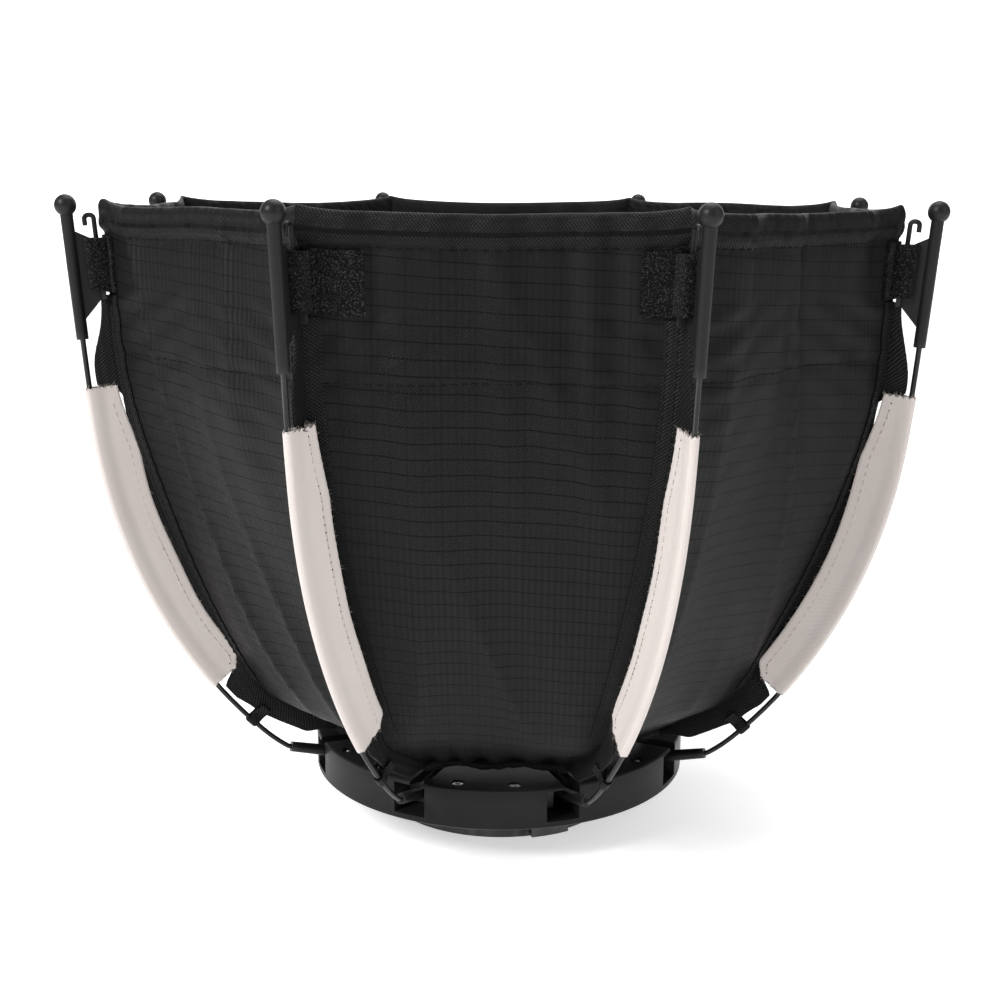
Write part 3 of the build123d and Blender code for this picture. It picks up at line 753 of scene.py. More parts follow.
def sew_hem(panel, side, letter):
    """Half of the rolled hem on one panel."""
    top = panel.points[-1]
    share = np.linspace(-1, 1, len(top))
    half_high = (HEM_TOP - RIM_Z) / 2
    around = np.arange(28) * 2 * math.pi / 28
    puff = 1.75 * MM
    rings = []
    for k, at in enumerate(share):
        t = at * panel.reach[-1]
        fat = 1 + 0.16 * float(drift(t / (7 * MM), 0.0, 210 + panel.number))
        lift = 0.9 * MM * abs(at) ** 14
        mitre = panel.out + panel.across * math.tan(HALF) * at
        ring = []
        for a in around:
            c, s = math.cos(a), math.sin(a)
            o = math.copysign(abs(c) ** 0.8, c) * puff * fat
            v = math.copysign(abs(s) ** 0.85, s) * half_high
            pinch = 1 - 0.62 * float(ramp(-s, 0.55, 1.0))
            wander = 2.0 * float(drift(t / (13 * MM), v / (6 * MM), 240 + panel.number))
            crease = 0.22 * MM * math.sin(2 * math.pi * (t - 0.8 * v) / (6.3 * MM) + wander)
            tuck = 0.2 * MM * math.sin(2 * math.pi * t / (3.3 * MM)) * float(ramp(-s, 0.2, 0.9))
            o = o * pinch + (crease + tuck) * c
            ring.append(top[k] + mitre * (o - 0.3 * MM) + UP * (v + half_high * 0.86 + lift * (1 + s) / 2))
        rings.append(ring)
    rings = np.array(rings)
    normals = outward(rings)
    plan = sweep_plan(rings)
    cut = half_columns(panel, side)
    skin = Skin()
    skin.sweep(rings[cut], normals[cut], plan[cut])
    hem = skin.make(f"hem_{panel.number}_{letter}", [finish_of("hem_cloth")], "bag_nylon")
    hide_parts("rim_hem")
    panel.follow(hem, side)
    return hem


def seam_run(panel, side, inset, low, high, gap=0.8 * MM):
    """Points up a panel beside its rib."""
    s = np.arange(low, high, gap)
    return panel.at(side, np.full(len(s), inset), s)


def cross_run(panel, side, s):
    """Points across half a panel at one height, from the middle to the rib."""
    reach = float(np.interp(s, panel.s, panel.reach))
    inset = np.linspace(reach, 0.4 * MM, 60)
    return panel.at(side, inset, np.full(60, s))


def sew_rows(panel, side, letter, trim):
    """Two rows of stitching round the bag: under the hem and at the foot of the upper band."""
    skin = Skin()
    for below in (HEM_ROW, UPPER_BAND):
        stitches(skin, *cross_run(panel, side, panel.length - below), trim)
    thread = skin.make(f"seam_thread_{panel.number}_{letter}", [finish_of("black_thread")], "webbing")
    panel.follow(thread, side)
    return thread


def length_at(height):
    """Length up the bag's line at a height."""
    line = bend_line((FOOT_R, FOOT_Z), BAG_SLOPE, BAG_LINE, 1 * MM)
    return float(np.interp(height, line[:, 1], line[:, 3]))


def corner_line():
    """The bag's corner at a rib: radius, height and length up the bag."""
    line = bend_line((FOOT_R, FOOT_Z), BAG_SLOPE, BAG_LINE, 1.5 * MM)
    return np.column_stack([line[:, 0] / math.cos(HALF), line[:, 1], line[:, 3]])


# How each rib's sleeve leans about its wire, in degrees: they are sewn by hand, so they differ.
SLEEVE_LEAN = {1: 3.0, 2: -4.0, 3: 5.0, 4: -3.0, 5: -2.0, 6: 17.0, 7: 2.0, 8: -4.0}
# How far each hook-and-loop tab reaches on the cloth, clockwise and anticlockwise, in mm.
TAB_REACH = {1: (11, 9), 2: (9, 12), 3: (12, 10), 4: (8, 12), 5: (5, 6), 6: (4, 19), 7: (13, 9), 8: (7, 6)}
SLEEVE_PARTING = 0.85 * MM                          # half the space between the folded layers
SLEEVE_FROM, SLEEVE_TO = 27.0 * MM, 154.1 * MM      # along the wire after its sharp bends
SEWN_IN = 3.4 * MM                                  # from a sleeve's sewn edge to its stitching
LOOP_AT = 6.0 * MM                                  # the same as SLEEVE_FROM for the loop's middle
LOOP_WIDTH, LOOP_THROAT = 4.6 * MM, 2.6 * MM        # of the webbing, and from the wire to the whipping
WING_FROM = 62 * MM                                 # height where the tape's sewn wings begin
WING_THICK = 0.45 * MM
TAB_PILE = 1.25 * MM                                # height of a tab's patch over the cloth


def rib_azimuth(number):
    x, y = HINGES[f"rib_{number}"]["pos_m"][:2]
    return math.atan2(y, x)


def sleeve_frame(number):
    """A sleeve's stretch of wire: points, inward, forward and sideways directions, room inside, length."""
    out, across = directions(rib_azimuth(number))
    line = wire_line(1.4 * MM)
    low, high = BELLY_AT + SLEEVE_FROM - 1e-6, BELLY_AT + SLEEVE_TO + 1e-6
    line = line[(line[:, 3] >= low) & (line[:, 3] <= high)]
    middle = line[:, [0]] * out + line[:, [1]] * UP
    slope = line[:, 2]
    inward = -np.sin(slope)[:, None] * out + np.cos(slope)[:, None] * UP
    ahead = np.cos(slope)[:, None] * out + np.sin(slope)[:, None] * UP
    corner = corner_line()
    gap = np.array([np.hypot(corner[:, 0] - r, corner[:, 1] - z).min() for r, z in line[:, :2]])
    return middle, inward, ahead, across, gap, line[:, 3] - line[0, 3]


def fold_outline(depths, spread, nose, turns, half_cloth):
    """Outline of cloth folded round a wire: depth and side of its outer face, then of its inner face."""
    bend = np.linspace(0.0, math.pi, turns)[1:-1]
    path = list(zip(depths, spread))
    path += [(-nose * math.sin(a), nose * math.cos(a)) for a in bend]
    path += list(zip(depths[::-1], -spread[::-1]))
    path = np.array(path)
    along = unit(np.gradient(path, axis=0))
    normal = np.column_stack([-along[:, 1], along[:, 0]])
    if normal[0, 1] < 0:
        normal = -normal
    return np.concatenate([path + normal * half_cloth, (path - normal * half_cloth)[::-1]])


def folded_strip(middle, inward, sideways, widths, gap_wire, gap_edge, cloth, wobble):
    """Cross-sections of a cloth strip folded round a wire: out along one side, round, and back."""
    rings = []
    for k in range(len(middle)):
        width = widths[k]
        depths = np.linspace(width, 0.0, 15)
        spread = gap_edge + (gap_wire - gap_edge) * (1 - ramp(depths, 0.8 * MM, 5.5 * MM))
        spread = spread + wobble[k] * ramp(depths, width * 0.55, width)
        loop = fold_outline(depths, spread, gap_wire, 11, cloth / 2)
        rings.append(middle[k] + loop[:, [0]] * inward[k] + loop[:, [1]] * sideways[k])
    return np.array(rings)


def strip_normals(rings):
    """Normals of a folded strip: along each face of the cloth, away from the cloth's middle."""
    normals = grid_normals(rings, wrap=True)
    half = rings.shape[1] // 2
    away = rings - rings[:, ::-1]
    sense = np.sign(float((normals[:, 2:half - 2] * away[:, 2:half - 2]).sum()))
    return normals * sense


def sew_sleeves():
    """Eight doubled twill strips folded round the wires, with their stitching and frayed ends."""
    trim = bpy.context.scene.softbox_trim
    for number in range(1, RIBS + 1):
        middle, inward, ahead, across, gap, along = sleeve_frame(number)
        seed = 300 + number
        lean = (np.radians(SLEEVE_LEAN[number]) + 0.05 * drift(along / (28 * MM), 0.0, seed))[:, None]
        inner = inward * np.cos(lean) + across * np.sin(lean)
        sideways = across * np.cos(lean) - inward * np.sin(lean)
        width = np.minimum(trim.sleeve_width, gap - 0.5 * MM)
        width = width + 0.25 * MM * drift(along / (9 * MM), 0.0, seed + 20)
        width = width - 1.6 * MM * ramp(along, along[-1] - 30 * MM, along[-1])
        width = width - 3.4 * MM * (1 - ramp(along, 0.0, 7.0 * MM)) ** 2
        wobble = 0.1 * MM * np.sin(2 * math.pi * along / (3.3 * MM))
        wobble = wobble + 0.14 * MM * drift(along / (8 * MM), 0.0, seed + 40)
        belly = 0.35 * MM * drift(along / (22 * MM), 0.0, seed + 60)
        rings = folded_strip(middle + across * belly[:, None] * 0.3, inner, sideways, width,
                             WIRE_R * MM + 0.45 * MM, SLEEVE_PARTING, trim.sleeve_cloth, wobble)
        slip = np.zeros(rings.shape[:2])
        turns = np.arange(rings.shape[1])
        slip[-2:] = 0.55 * MM * np.array([math.sin(1.9 * t + number) for t in turns])[None, :]
        slip[:2] = 0.45 * MM * np.array([math.sin(1.3 * t + 2 * number) for t in turns])[None, :]
        rings = rings + slip[..., None] * ahead[:, None, :]
        skin = Skin()
        skin.sweep(rings, strip_normals(rings), strip_plan(rings, along))
        sleeve = skin.make(f"sleeve_{number}", [finish_of("sleeve_twill")], "sleeve_twill")
        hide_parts(f"rib_{number}_sleeve")
        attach(sleeve, f"rib_{number}")
        extra = sleeve_thread(number, middle, inner, sideways, width, ahead, trim)


def strip_plan(rings, along):
    """Plan of a folded strip: round its faces and along the rib, in millimetres."""
    step = np.linalg.norm(np.diff(rings, axis=1, prepend=rings[:, :1]), axis=2).cumsum(axis=1)
    return np.dstack([step / MM, np.broadcast_to(along[:, None] / MM, step.shape)])


def sleeve_thread(number, middle, inner, sideways, width, ahead, trim):
    """Running stitch beside the sewn edge on both faces, and frayed threads."""
    sewn, loose = Skin(), Skin()
    face = SLEEVE_PARTING + trim.sleeve_cloth / 2
    for sense in (-1, 1):
        line = middle + inner * (width - SEWN_IN)[:, None] + sense * sideways * face
        keep = slice(2, -2)
        stitches(sewn, line[keep], (sense * sideways)[keep], trim, radius=0.16 * MM)
        # dark discs in black thread along the stitching: painted shade of the needle holes
        for k in range(2, len(line) - 2, 2):
            needle_hole_shade(sewn, line[k], sense * sideways[k], ahead[k], 0.3 * MM)
    finishes = [finish_of("pale_thread"), finish_of("black_thread")]
    thread = sewn.make(f"sleeve_thread_{number}", finishes, "sleeve_twill")
    pick = random.Random(500 + number)
    roots, headings = [], []
    count = len(middle)
    for _ in range(150):
        k = pick.randrange(count)
        sense = pick.choice((-1, 1))
        edge = middle[k] + inner[k] * (width[k] - 0.1 * MM)
        roots.append(edge + sense * sideways[k] * face * pick.uniform(0.6, 1.0))
        headings.append(inner[k] + 0.7 * sense * sideways[k])
    fibres(loose, roots, headings, 520 + number, 0.9 * MM, 0.055 * MM, spread=0.9)
    roots, headings = [], []
    for end, sense in ((0, -1), (count - 1, 1)):
        for _ in range(46):
            d = pick.uniform(-1.0 * MM, width[end])
            side = pick.choice((-1, 1))
            roots.append(middle[end] + inner[end] * d + side * sideways[end] * face
                         + sense * ahead[end] * 0.1 * MM)
            headings.append(sense * ahead[end] + 0.3 * side * sideways[end])
    fibres(loose, roots, headings, 560 + number, 1.3 * MM, 0.07 * MM, spread=0.6)
    fray = loose.make(f"sleeve_fray_{number}", [finish_of("pale_thread")], "sleeve_twill")
    for piece in (thread, fray):
        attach(piece, f"rib_{number}")
    return [thread, fray]


def sew_webbing():
    """The seam tape that stands out from each corner, its sewn wings, and the loop round each wire."""
    trim = bpy.context.scene.softbox_trim
    tape, dark = finish_of("webbing"), finish_of("black_thread")
    corner = corner_line()
    top = length_at(TAB_LOW) - 1 * MM
    corner = corner[corner[:, 2] <= top]
    wire = wire_line(1.0 * MM)
    for number in range(1, RIBS + 1):
        out, across = directions(rib_azimuth(number))
        panel = panels()[number - 1]
        skin = Skin()
        skin.sweep(flap_rings(*flap_line(number, corner, wire, top, out, across), across))
        flap = skin.make(f"seam_tape_{number}", [tape], "webbing")
        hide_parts("seam_tapes")
        panel.follow(flap, -1)
        sew_tape_wings(number, panel, top, trim, tape, dark)
        sew_loop(number, out, across, wire, tape, dark)


def flap_line(number, corner, wire, top, out, across):
    """The standing tape's foot, heading, reach and half thickness up a corner; it reaches into the sleeve."""
    s = corner[:, 2]
    place = corner[:, [0]] * out + corner[:, [1]] * UP + out * 0.9 * MM
    nearest = np.array([np.argmin(np.hypot(wire[:, 0] - r, wire[:, 1] - z)) for r, z in corner[:, :2]])
    on_wire = wire[nearest][:, [0]] * out + wire[nearest][:, [1]] * UP
    distance = np.linalg.norm(on_wire - place, axis=1)
    inward = unit(place - on_wire)
    lean = math.radians(SLEEVE_LEAN[number])
    covered = ramp(s, 47 * MM, 53 * MM) * (1 - ramp(s, top - 36 * MM, top - 31 * MM))
    aim_at = 2.4 * MM + 9.0 * MM * covered
    target = on_wire + (inward * math.cos(lean) + across * math.sin(lean)) * aim_at[:, None]
    heading = unit(target - place)
    bow = 0.16 * drift(s / (22 * MM), 0.0, 600 + number)
    heading = heading * np.cos(bow)[:, None] + across * np.sin(bow)[:, None]
    low_reach = 3.0 * MM + 4.6 * MM * ramp(s, 0.0, 12 * MM) + 3.0 * MM * ramp(s, 36 * MM, 48 * MM)
    high_reach = 3.2 * MM + (distance - 5.6 * MM) * ramp(top - s, 3 * MM, 30 * MM)
    reach = np.where(s < top - 60 * MM, low_reach, high_reach)
    reach = reach * (1 - covered) + np.linalg.norm(target - place, axis=1) * covered
    reach = reach + 0.4 * MM * drift(s / (4.5 * MM), 0.0, 630 + number)
    reach = np.minimum(reach, distance - 2.0 * MM)
    thick = 0.32 * MM + 0.25 * MM * (1 - covered)
    return place, heading, reach, thick


def flap_rings(place, heading, reach, thick, across):
    """Cross-sections of the standing seam tape, rounded at its outer edge."""
    rings = []
    for k in range(len(place)):
        side = unit(across - heading[k] * np.dot(across, heading[k]))
        face = [(-1.2 * MM, 1.0), (0.5 * reach[k], 1.08), (reach[k] - 0.4 * MM, 1.0), (reach[k], 0.5)]
        loop = [place[k] + heading[k] * d + side * w * thick[k] for d, w in face]
        loop += [place[k] + heading[k] * d - side * w * thick[k] for d, w in reversed(face)]
        rings.append(loop)
    return np.array(rings)


def pad_on(panel, side, near, far, low, high, thickness, cells, puff=0.0, seed=0):
    """A strip lying on a panel beside its rib: its top face, normals and plan."""
    inset = np.linspace(near, far, cells[0])
    s = np.linspace(low, high, cells[1])
    if side > 0:
        inset = inset[::-1]
    a, h = np.meshgrid(inset, s)
    points, normals = panel.at(side, a, h)
    lift = np.full(a.shape, thickness)
    if puff:
        lift = lift + puff * drift(a / (2.1 * MM), h / (2.1 * MM), seed)
    plan = np.dstack([a / MM, h / MM])
    return points + normals * lift[..., None], normals, plan, points - normals * 0.05 * MM


def sew_tape_wings(number, panel_after, top, trim, tape, dark):
    """The tape's two sewn wings on the cloth, one each side of the corner."""
    for side, panel in ((1, panels()[number - 2]), (-1, panel_after)):
        low = length_at(WING_FROM)
        skin = Skin()
        face, normals, plan, under = pad_on(panel, side, 0.3 * MM, 5.6 * MM, low, top, WING_THICK, (7, 90))
        skin.shell(face, normals, plan, 0, inner=under)
        letter = "a" if side < 0 else "b"
        wing = skin.make(f"tape_wing_{number}_{letter}", [tape], "webbing")
        sewn = Skin()
        for inset in (1.5 * MM, 4.7 * MM):
            points, out = seam_run(panel, side, inset, low + 1 * MM, top - 1 * MM)
            stitches(sewn, points, out, trim, depth=WING_THICK, radius=0.17 * MM)
        thread = sewn.make(f"tape_thread_{number}_{letter}", [dark], "webbing")
        for piece in (wing, thread):
            panel.follow(piece, side)


def sew_loop(number, out, across, wire, tape, dark):
    """A narrow webbing loop from the seam round the wire, with a whipped throat."""
    at = BELLY_AT + LOOP_AT
    s = np.linspace(at - LOOP_WIDTH / 2, at + LOOP_WIDTH / 2, 7)
    r, z, slope = (np.interp(s, wire[:, 3], wire[:, k]) for k in (0, 1, 2))
    middle = r[:, None] * out + z[:, None] * UP
    inward = -np.sin(slope)[:, None] * out + np.cos(slope)[:, None] * UP
    side = np.tile(across, (7, 1))
    rings = []
    for k in range(7):
        depths = np.linspace(7.4 * MM, 0.0, 12)
        spread = 1.05 * MM + 1.5 * MM * ramp(depths, LOOP_THROAT, 9 * MM)
        spread = np.where(depths < LOOP_THROAT, 1.05 * MM + 0.35 * MM * (1 - depths / LOOP_THROAT), spread)
        edge = 1.0 if 0 < k < 6 else 0.55
        loop = fold_outline(depths, spread, 1.4 * MM, 9, 0.32 * MM * edge)
        rings.append(middle[k] + loop[:, [0]] * inward[k] + loop[:, [1]] * side[k])
    rings = np.array(rings)
    skin = Skin()
    skin.sweep(rings, strip_normals(rings), strip_plan(rings, s))
    loop_piece = skin.make(f"wire_loop_{number}", [tape], "webbing")
    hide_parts("loop_straps")
    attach(loop_piece, f"rib_{number}")
    skin = Skin()
    for k in range(6):
        share = 0.12 + 0.76 * k / 5
        p = middle[0] * (1 - share) + middle[-1] * share
        p = p + inward[3] * (LOOP_THROAT + 0.25 * MM * math.sin(5.0 * k))
        turns = np.arange(14) * 2 * math.pi / 14
        ahead = unit(middle[-1] - middle[0])
        ring_points = [p + 1.5 * MM * math.cos(a) * across + 0.45 * MM * math.sin(a) * inward[3]
                       for a in turns]
        rings = []
        for q in ring_points + ring_points[:1]:
            away = unit(q - p)
            rings.append([q + 0.2 * MM * (math.cos(b) * away + math.sin(b) * ahead)
                          for b in np.arange(6) * math.pi / 3])
        skin.sweep(np.array(rings), ends=(False, False))
    whip = skin.make(f"loop_whipping_{number}", [dark], "webbing")
    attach(whip, f"rib_{number}")


def sew_tabs():
    """Hook-and-loop tabs: a wrap round each tip's strip and a fuzzy patch on the cloth each side."""
    fuzz = finish_of("hook_loop")
    low, high = length_at(TAB_LOW), length_at(TAB_HIGH)
    for number in range(1, RIBS + 1):
        pick = random.Random(700 + number)
        before, after = TAB_REACH[number]
        for side, at, reach in ((1, number - 2, before), (-1, number - 1, after)):
            panel = panels()[at]
            skin = Skin()
            cells = (max(6, int(reach * 1.3)), 28)
            face, normals, plan, under = pad_on(panel, side, 0.2 * MM, reach * MM, low, high, TAB_PILE,
                                                cells, puff=0.16 * MM, seed=720 + number)
            skin.shell(face, normals, plan, 0, inner=under)
            roots, headings = [], []
            for _ in range(int(26 * reach)):
                i, j = pick.randrange(face.shape[0]), pick.randrange(face.shape[1])
                roots.append(face[i, j] + unit(face[i, j - 1] - face[i, j]) * pick.uniform(0, 0.8) * MM)
                headings.append(normals[i, j])
            fibres(skin, roots, headings, 740 + number, 0.8 * MM, 0.045 * MM, spread=1.2)
            letter = "a" if side < 0 else "b"
            patch = skin.make(f"tab_patch_{number}_{letter}", [fuzz], "hook_loop")
            panel.follow(patch, side)
        wrap_strip(number, pick, fuzz)


def wrap_strip(number, pick, fuzz):
    """The tab's turn round the moulded strip behind the tip."""
    out, across = directions(rib_azimuth(number))
    line = wire_line()
    near, far, wide = -TIP_STRIP[0] * MM - 5.4 * MM, -TIP_STRIP[0] * MM + 2.9 * MM, TIP_STRIP[1] / 2 * MM
    heights = np.linspace(TAB_LOW + 0.4 * MM, TAB_HIGH - 1.2 * MM, 22)
    rings = []
    for k, h in enumerate(heights):
        ring, axis = [], float(np.interp(h, line[:, 1], line[:, 0]))
        for a in np.arange(32) * 2 * math.pi / 32:
            c, s = math.cos(a), math.sin(a)
            d = math.copysign(abs(c) ** 0.45, c) * (far - near) / 2
            w = math.copysign(abs(s) ** 0.45, s) * (wide + 0.9 * MM)
            rough = 0.14 * MM * math.sin(9 * a + 1.7 * k + number) + 0.1 * MM * math.sin(23 * a - 3.1 * k)
            ring.append(out * (axis + (near + far) / 2 + d + rough * c) + across * (w + rough * s) + UP * h)
        rings.append(ring)
    rings = np.array(rings)
    skin = Skin()
    skin.sweep(rings)
    roots, headings = [], []
    for _ in range(420):
        i, j = pick.randrange(1, len(heights) - 1), pick.randrange(32)
        roots.append(rings[i, j])
        headings.append(unit(rings[i, j] - rings[i].mean(0)))
    fibres(skin, roots, headings, 760 + number, 0.75 * MM, 0.045 * MM, spread=1.1)
    wrap = skin.make(f"tab_wrap_{number}", [fuzz], "hook_loop")
    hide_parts(f"rib_{number}_tab")
    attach(wrap, f"rib_{number}")


def sew_foot():
    """The gathered casing round the bag's foot."""
    count, around = 480, 22
    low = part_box("base_elastic")[0].z
    rings = []
    for k in range(count):
        azimuth = 2 * math.pi * k / count
        out, _ = directions(azimuth)
        fold = (azimuth + HALF) % (2 * HALF) - HALF
        eight = FOOT_R / math.cos(fold)
        radius = 0.55 * eight + 0.45 * FOOT_R * 1.03
        gather = math.sin(46 * azimuth + 2.6 * math.sin(5 * azimuth) + 1.9 * math.sin(13 * azimuth + 1.0))
        small = math.sin(131 * azimuth + 2.0 * math.sin(9 * azimuth))
        ear = math.exp(-(((HALF - abs(fold)) / 0.11) ** 2))
        fat = 2.2 * MM + 0.3 * MM * gather + 0.12 * MM * small + 1.2 * MM * ear
        radius = radius + 2.0 * MM * ear
        lift = low + 2.3 * MM + 0.5 * MM * math.sin(17 * azimuth + 0.6)
        ring = []
        for a in np.arange(around) * 2 * math.pi / around:
            reach = radius + 0.8 * MM + fat * 1.25 * math.cos(a)
            ring.append(out * reach + UP * (lift + fat * 0.82 * math.sin(a)))
        rings.append(ring)
    rings.append(rings[0])
    rings = np.array(rings)
    skin = Skin()
    skin.sweep(rings, ends=(False, False))
    casing = skin.make("foot_casing", [finish_of("elastic_cloth")], "elastic")
    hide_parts("base_elastic")
    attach(casing, "carrier")


# ------------------------------------------------------------------ stage
def placed(right, up, back, place):
    """A matrix from its three directions and its place."""
    m = np.eye(4)
    m[:3, 0], m[:3, 1], m[:3, 2], m[:3, 3] = right, up, back, place
    return Matrix(m.tolist())


def aim(place, target):
    """A matrix that looks from place to target."""
    back = unit(np.asarray(place, float) - np.asarray(target, float))
    right = unit(np.cross(UP, back))
    return placed(right, np.cross(back, right), back, place)


def camera_matrix(stage):
    """Where the camera stands and looks."""
    down, left, roll = (math.radians(v) for v in (stage.camera_down, stage.camera_left, stage.camera_roll))
    turn = np.array([[math.cos(left), -math.sin(left), 0], [math.sin(left), math.cos(left), 0], [0, 0, 1]])
    ahead = turn @ np.array([0, math.cos(down), -math.sin(down)])
    level = turn @ np.array([1.0, 0, 0])
    above = np.cross(level, ahead)
    right = level * math.cos(roll) + above * math.sin(roll)
    up = above * math.cos(roll) - level * math.sin(roll)
    return placed(right, up, -ahead, list(stage.camera_place))


def area_light(name, place, target, size, power):
    """A soft rectangular lamp that faces its target."""
    lamp = bpy.data.lights.new(name, "AREA")
    lamp.shape = "RECTANGLE"
    lamp.size, lamp.size_y = size
    lamp.energy = power
    piece = bpy.data.objects.new(name, lamp)
    piece.matrix_world = aim(place, target)
    bpy.context.scene.collection.objects.link(piece)


def paper_finish(color):
    finish, build, shader = new_finish("paper")
    cloud = build.group("soft_patches", place=place_of(build), scale=3.0).outputs[0]
    build.put(shader.inputs["Base Color"], build.mix(cloud, tuple(c * 0.985 for c in color), color))
    build.put(shader.inputs["Roughness"], build.remap(cloud, 0.0, 1.0, 0.85, 0.95))
    build.put(shader.inputs["Emission Color"], build.mix(cloud, (0.98, 0.98, 0.98), (1.0, 1.0, 1.0)))
    shader.inputs["Emission Strength"].default_value = 0.55
    return finish


def glow_finish():
    finish, build, shader = new_finish("backdrop_glow", emission_strength=1.0)
    cloud = build.group("soft_patches", place=place_of(build), scale=1.0).outputs[0]
    build.put(shader.inputs["Emission Color"], build.mix(cloud, (0.99, 0.99, 0.99), (1.0, 1.0, 1.0)))
    return finish


def stage_plate(name, corners, finish):
    """One flat piece of the set."""
    mesh = bpy.data.meshes.new(name)
    mesh.from_pydata(corners, [], [(0, 1, 2, 3)])
    mesh.materials.append(finish)
    plate = bpy.data.objects.new(name, mesh)
    bpy.context.scene.collection.objects.link(plate)


def build_stage():
    stage = bpy.context.scene.softbox_stage
    half = stage.floor_size / 2
    stage_plate("floor", [(-half, -half, 0), (half, -half, 0), (half, half, 0), (-half, half, 0)],
                paper_finish(tuple(stage.floor_color)))
    stage_plate("backdrop", [(-half, half, 0), (half, half, 0), (half, half, half), (-half, half, half)],
                glow_finish())
    bpy.context.scene.view_settings.view_transform = "Standard"
    area_light("key_light", (-0.95, -0.9, 1.05), (0, 0, 0.14), (0.5, 0.5), stage.key_power)
    area_light("fill_light", (1.15, -0.8, 0.8), (0, 0, 0.12), (0.9, 1.2), stage.fill_power)
    area_light("top_light", (0.1, 0.35, 1.5), (0, 0, 0.15), (1.2, 1.2), stage.key_power * 0.8)
    world = bpy.data.worlds.new("studio")
    world.use_nodes = True
    sky = world.node_tree.nodes["Background"]
    sky.inputs["Color"].default_value = (1.0, 1.0, 1.0, 1.0)
    sky.inputs["Strength"].default_value = stage.sky
    bpy.context.scene.world = world
    lens = bpy.data.cameras.new("camera")
    lens.lens, lens.sensor_width = stage.lens, 36.0
    lens.clip_start = 0.01
    camera = bpy.data.objects.new("camera", lens)
    camera.matrix_world = camera_matrix(stage)
    bpy.context.scene.collection.objects.link(camera)
    bpy.context.scene.camera = camera


# ------------------------------------------------------------------ finishes
BLACK = (0.009, 0.009, 0.0095)
HARD_FINISHES = {
    "hub_plastic": ["hub_base", "hub_cover"],
    "bayonet_black": ["bayonet_ring"],
    "bright_steel": ["cover_screws", "bayonet_screws", "hinge_pins"],
    "carrier_plastic": ["rib_carrier"],
    "rod_black": [f"rib_{n}_socket" for n in range(1, RIBS + 1)],
    "spring_wire": [f"rib_{n}_wire" for n in range(1, RIBS + 1)],
    "tip_plastic": [f"rib_{n}_tip" for n in range(1, RIBS + 1)],
}


def mix_finishes():
    bag, trim = bpy.context.scene.softbox_bag, bpy.context.scene.softbox_trim
    cloth, webbing, twill = tuple(bag.cloth_color), tuple(trim.webbing_color), tuple(trim.sleeve_color)
    weave_group()
    patches_group()
    grain_group()
    # name, colour, lightest thread, pitch and twill, ripstop grid, roughness, relief, sheen
    for name, *look in (
            ("bag_cloth", cloth, 1.9, 0.8, 0.3, 5.2, 0.4, 0.0001, 0.0),
            ("hem_cloth", cloth, 2.2, 1.1, 0.35, NO_RIPSTOP, 0.42, 0.00016, 0.0),
            ("webbing", webbing, 2.4, 1.2, 0.5, NO_RIPSTOP, 0.5, 0.0002, 0.01),
            ("elastic_cloth", webbing, 1.8, 0.9, 0.4, NO_RIPSTOP, 0.55, 0.00013, 0.02)):
        FINISHES[name] = cloth_finish(name, *look)
    FINISHES["silver_lining"] = lining_finish(tuple(bag.lining_color))
    FINISHES["sleeve_twill"] = twill_finish(twill)
    FINISHES["hook_loop"] = fuzz_finish(webbing)
    FINISHES["black_thread"] = thread_finish("black_thread", (0.004, 0.004, 0.004))
    FINISHES["pale_thread"] = thread_finish("pale_thread", (0.72, 0.64, 0.58))
    # name, colour, colour of worn edges (partly a painted edge highlight), roughness, grain, relief, metal,
    # specular level
    for name, color, worn_edge_and_highlight, rough, grain, depth, metallic, level in (
            ("hub_plastic", (0.01, 0.01, 0.0105), (0.03, 0.03, 0.031), 0.42, 900.0, 0.00003, 0.0, 0.1),
            ("carrier_plastic", BLACK, (0.04, 0.04, 0.04), 0.5, 700.0, 0.00004, 0.0, 0.5),
            ("bayonet_black", (0.03, 0.03, 0.032), (0.2, 0.2, 0.2), 0.38, 1400.0, 0.00002, 0.75, 0.5),
            ("bright_steel", (0.5, 0.5, 0.5), (0.75, 0.75, 0.75), 0.28, 1600.0, 0.00002, 1.0, 0.5),
            ("rod_black", BLACK, (0.06, 0.06, 0.06), 0.4, 1200.0, 0.00003, 0.3, 0.3),
            ("spring_wire", (0.01, 0.01, 0.011), (0.08, 0.08, 0.08), 0.34, 1500.0, 0.00002, 0.4, 0.5),
            ("tip_plastic", (0.011, 0.011, 0.0115), (0.035, 0.035, 0.035), 0.4, 1100.0, 0.00004, 0.0, 0.22)):
        FINISHES[name] = moulded_finish(name, color, worn_edge_and_highlight, rough, grain, depth, metallic, level)
    for name, nodes in HARD_FINISHES.items():
        for node in nodes:
            mesh = frame["nodes"][node].data
            mesh.materials.clear()
            mesh.materials.append(FINISHES[name])


# ------------------------------------------------------------------ operators
class SOFTBOX_OT_finishes(bpy.types.Operator):
    """Mix the finishes and put them on the hard parts"""
    bl_idname = "softbox.finishes"
    bl_label = "Mix Finishes"

    def execute(self, context):
        mix_finishes()
        return {"FINISHED"}


class SOFTBOX_OT_bag(bpy.types.Operator):
    """Sew the eight panels with their hem and rows of stitching"""
    bl_idname = "softbox.bag"
    bl_label = "Sew Bag"

    def execute(self, context):
        sew_panels()
        return {"FINISHED"}


class SOFTBOX_OT_foot(bpy.types.Operator):
    """Gather the casing round the bag's foot"""
    bl_idname = "softbox.foot"
    bl_label = "Gather Foot"

    def execute(self, context):
        sew_foot()
        return {"FINISHED"}


class SOFTBOX_OT_sleeves(bpy.types.Operator):
    """Fold and sew the twill sleeves round the rib wires"""
    bl_idname = "softbox.sleeves"
    bl_label = "Sew Sleeves"

    def execute(self, context):
        sew_sleeves()
        return {"FINISHED"}


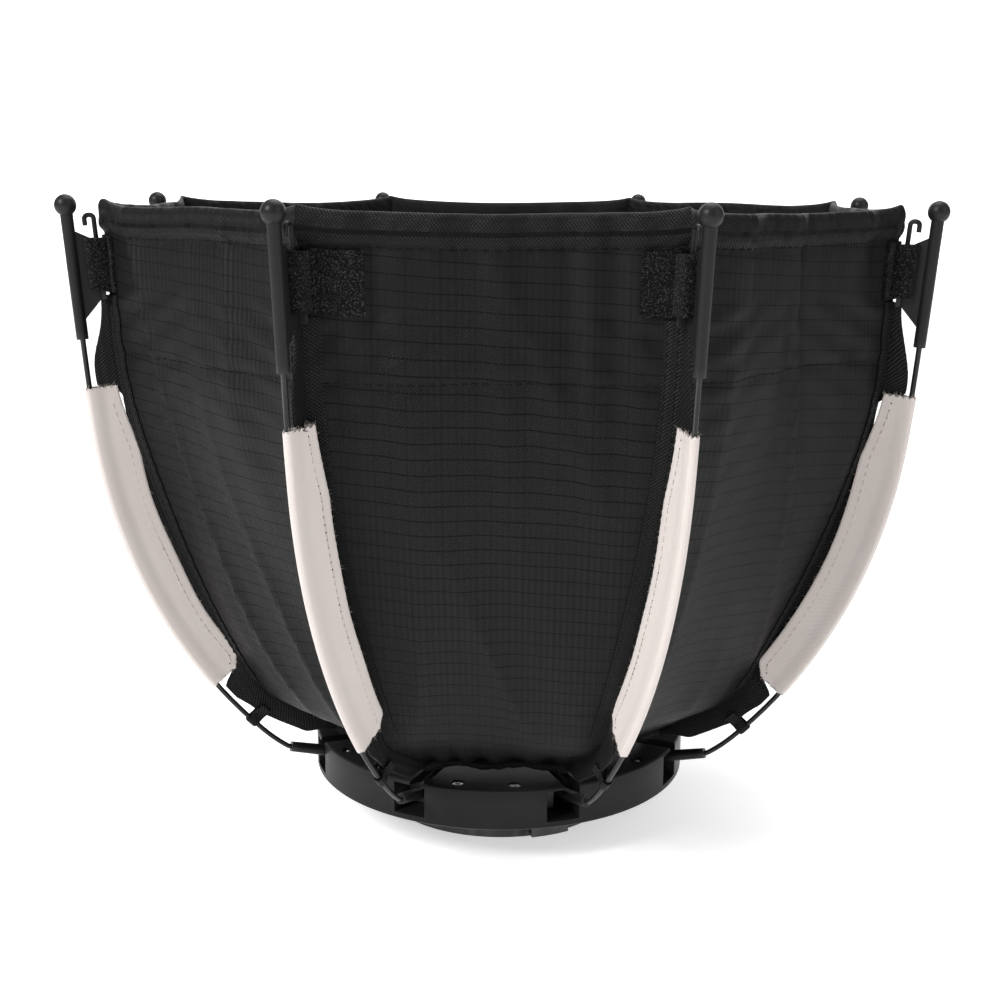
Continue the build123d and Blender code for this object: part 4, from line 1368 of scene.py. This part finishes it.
class SOFTBOX_OT_webbing(bpy.types.Operator):
    """Sew the seam tapes and the loops round the wires"""
    bl_idname = "softbox.webbing"
    bl_label = "Sew Webbing"

    def execute(self, context):
        sew_webbing()
        return {"FINISHED"}


class SOFTBOX_OT_tabs(bpy.types.Operator):
    """Wrap the hook-and-loop tabs"""
    bl_idname = "softbox.tabs"
    bl_label = "Wrap Tabs"

    def execute(self, context):
        sew_tabs()
        return {"FINISHED"}


class SOFTBOX_OT_stage(bpy.types.Operator):
    """Set the floor, lights and camera"""
    bl_idname = "softbox.stage"
    bl_label = "Set Stage"

    def execute(self, context):
        build_stage()
        return {"FINISHED"}


class SOFTBOX_PT_maker(bpy.types.Panel):
    """Lists the makers in working order"""
    bl_label = "Softbox"
    bl_space_type = "VIEW_3D"
    bl_region_type = "UI"
    bl_category = "Softbox"

    def draw(self, context):
        for operator in OPERATORS:
            self.layout.operator(operator.bl_idname)
        for settings in (context.scene.softbox_bag, context.scene.softbox_trim, context.scene.softbox_stage):
            for name in settings.bl_rna.properties.keys()[2:]:
                self.layout.prop(settings, name)


OPERATORS = (SOFTBOX_OT_finishes, SOFTBOX_OT_stage, SOFTBOX_OT_bag, SOFTBOX_OT_foot, SOFTBOX_OT_sleeves,
             SOFTBOX_OT_webbing, SOFTBOX_OT_tabs)
CLASSES = (BagSettings, TrimSettings, StageSettings, *OPERATORS, SOFTBOX_PT_maker)


def register():
    for cls in CLASSES:
        bpy.utils.register_class(cls)
    bpy.types.Scene.softbox_bag = PointerProperty(type=BagSettings)
    bpy.types.Scene.softbox_trim = PointerProperty(type=TrimSettings)
    bpy.types.Scene.softbox_stage = PointerProperty(type=StageSettings)


def unregister():
    del bpy.types.Scene.softbox_bag, bpy.types.Scene.softbox_trim, bpy.types.Scene.softbox_stage
    for cls in reversed(CLASSES):
        bpy.utils.unregister_class(cls)


def main():
    register()
    bpy.ops.softbox.finishes()
    bpy.ops.softbox.stage()
    bpy.ops.softbox.bag()
    bpy.ops.softbox.foot()
    bpy.ops.softbox.sleeves()
    bpy.ops.softbox.webbing()
    bpy.ops.softbox.tabs()


if __name__ == "__main__":
    main()
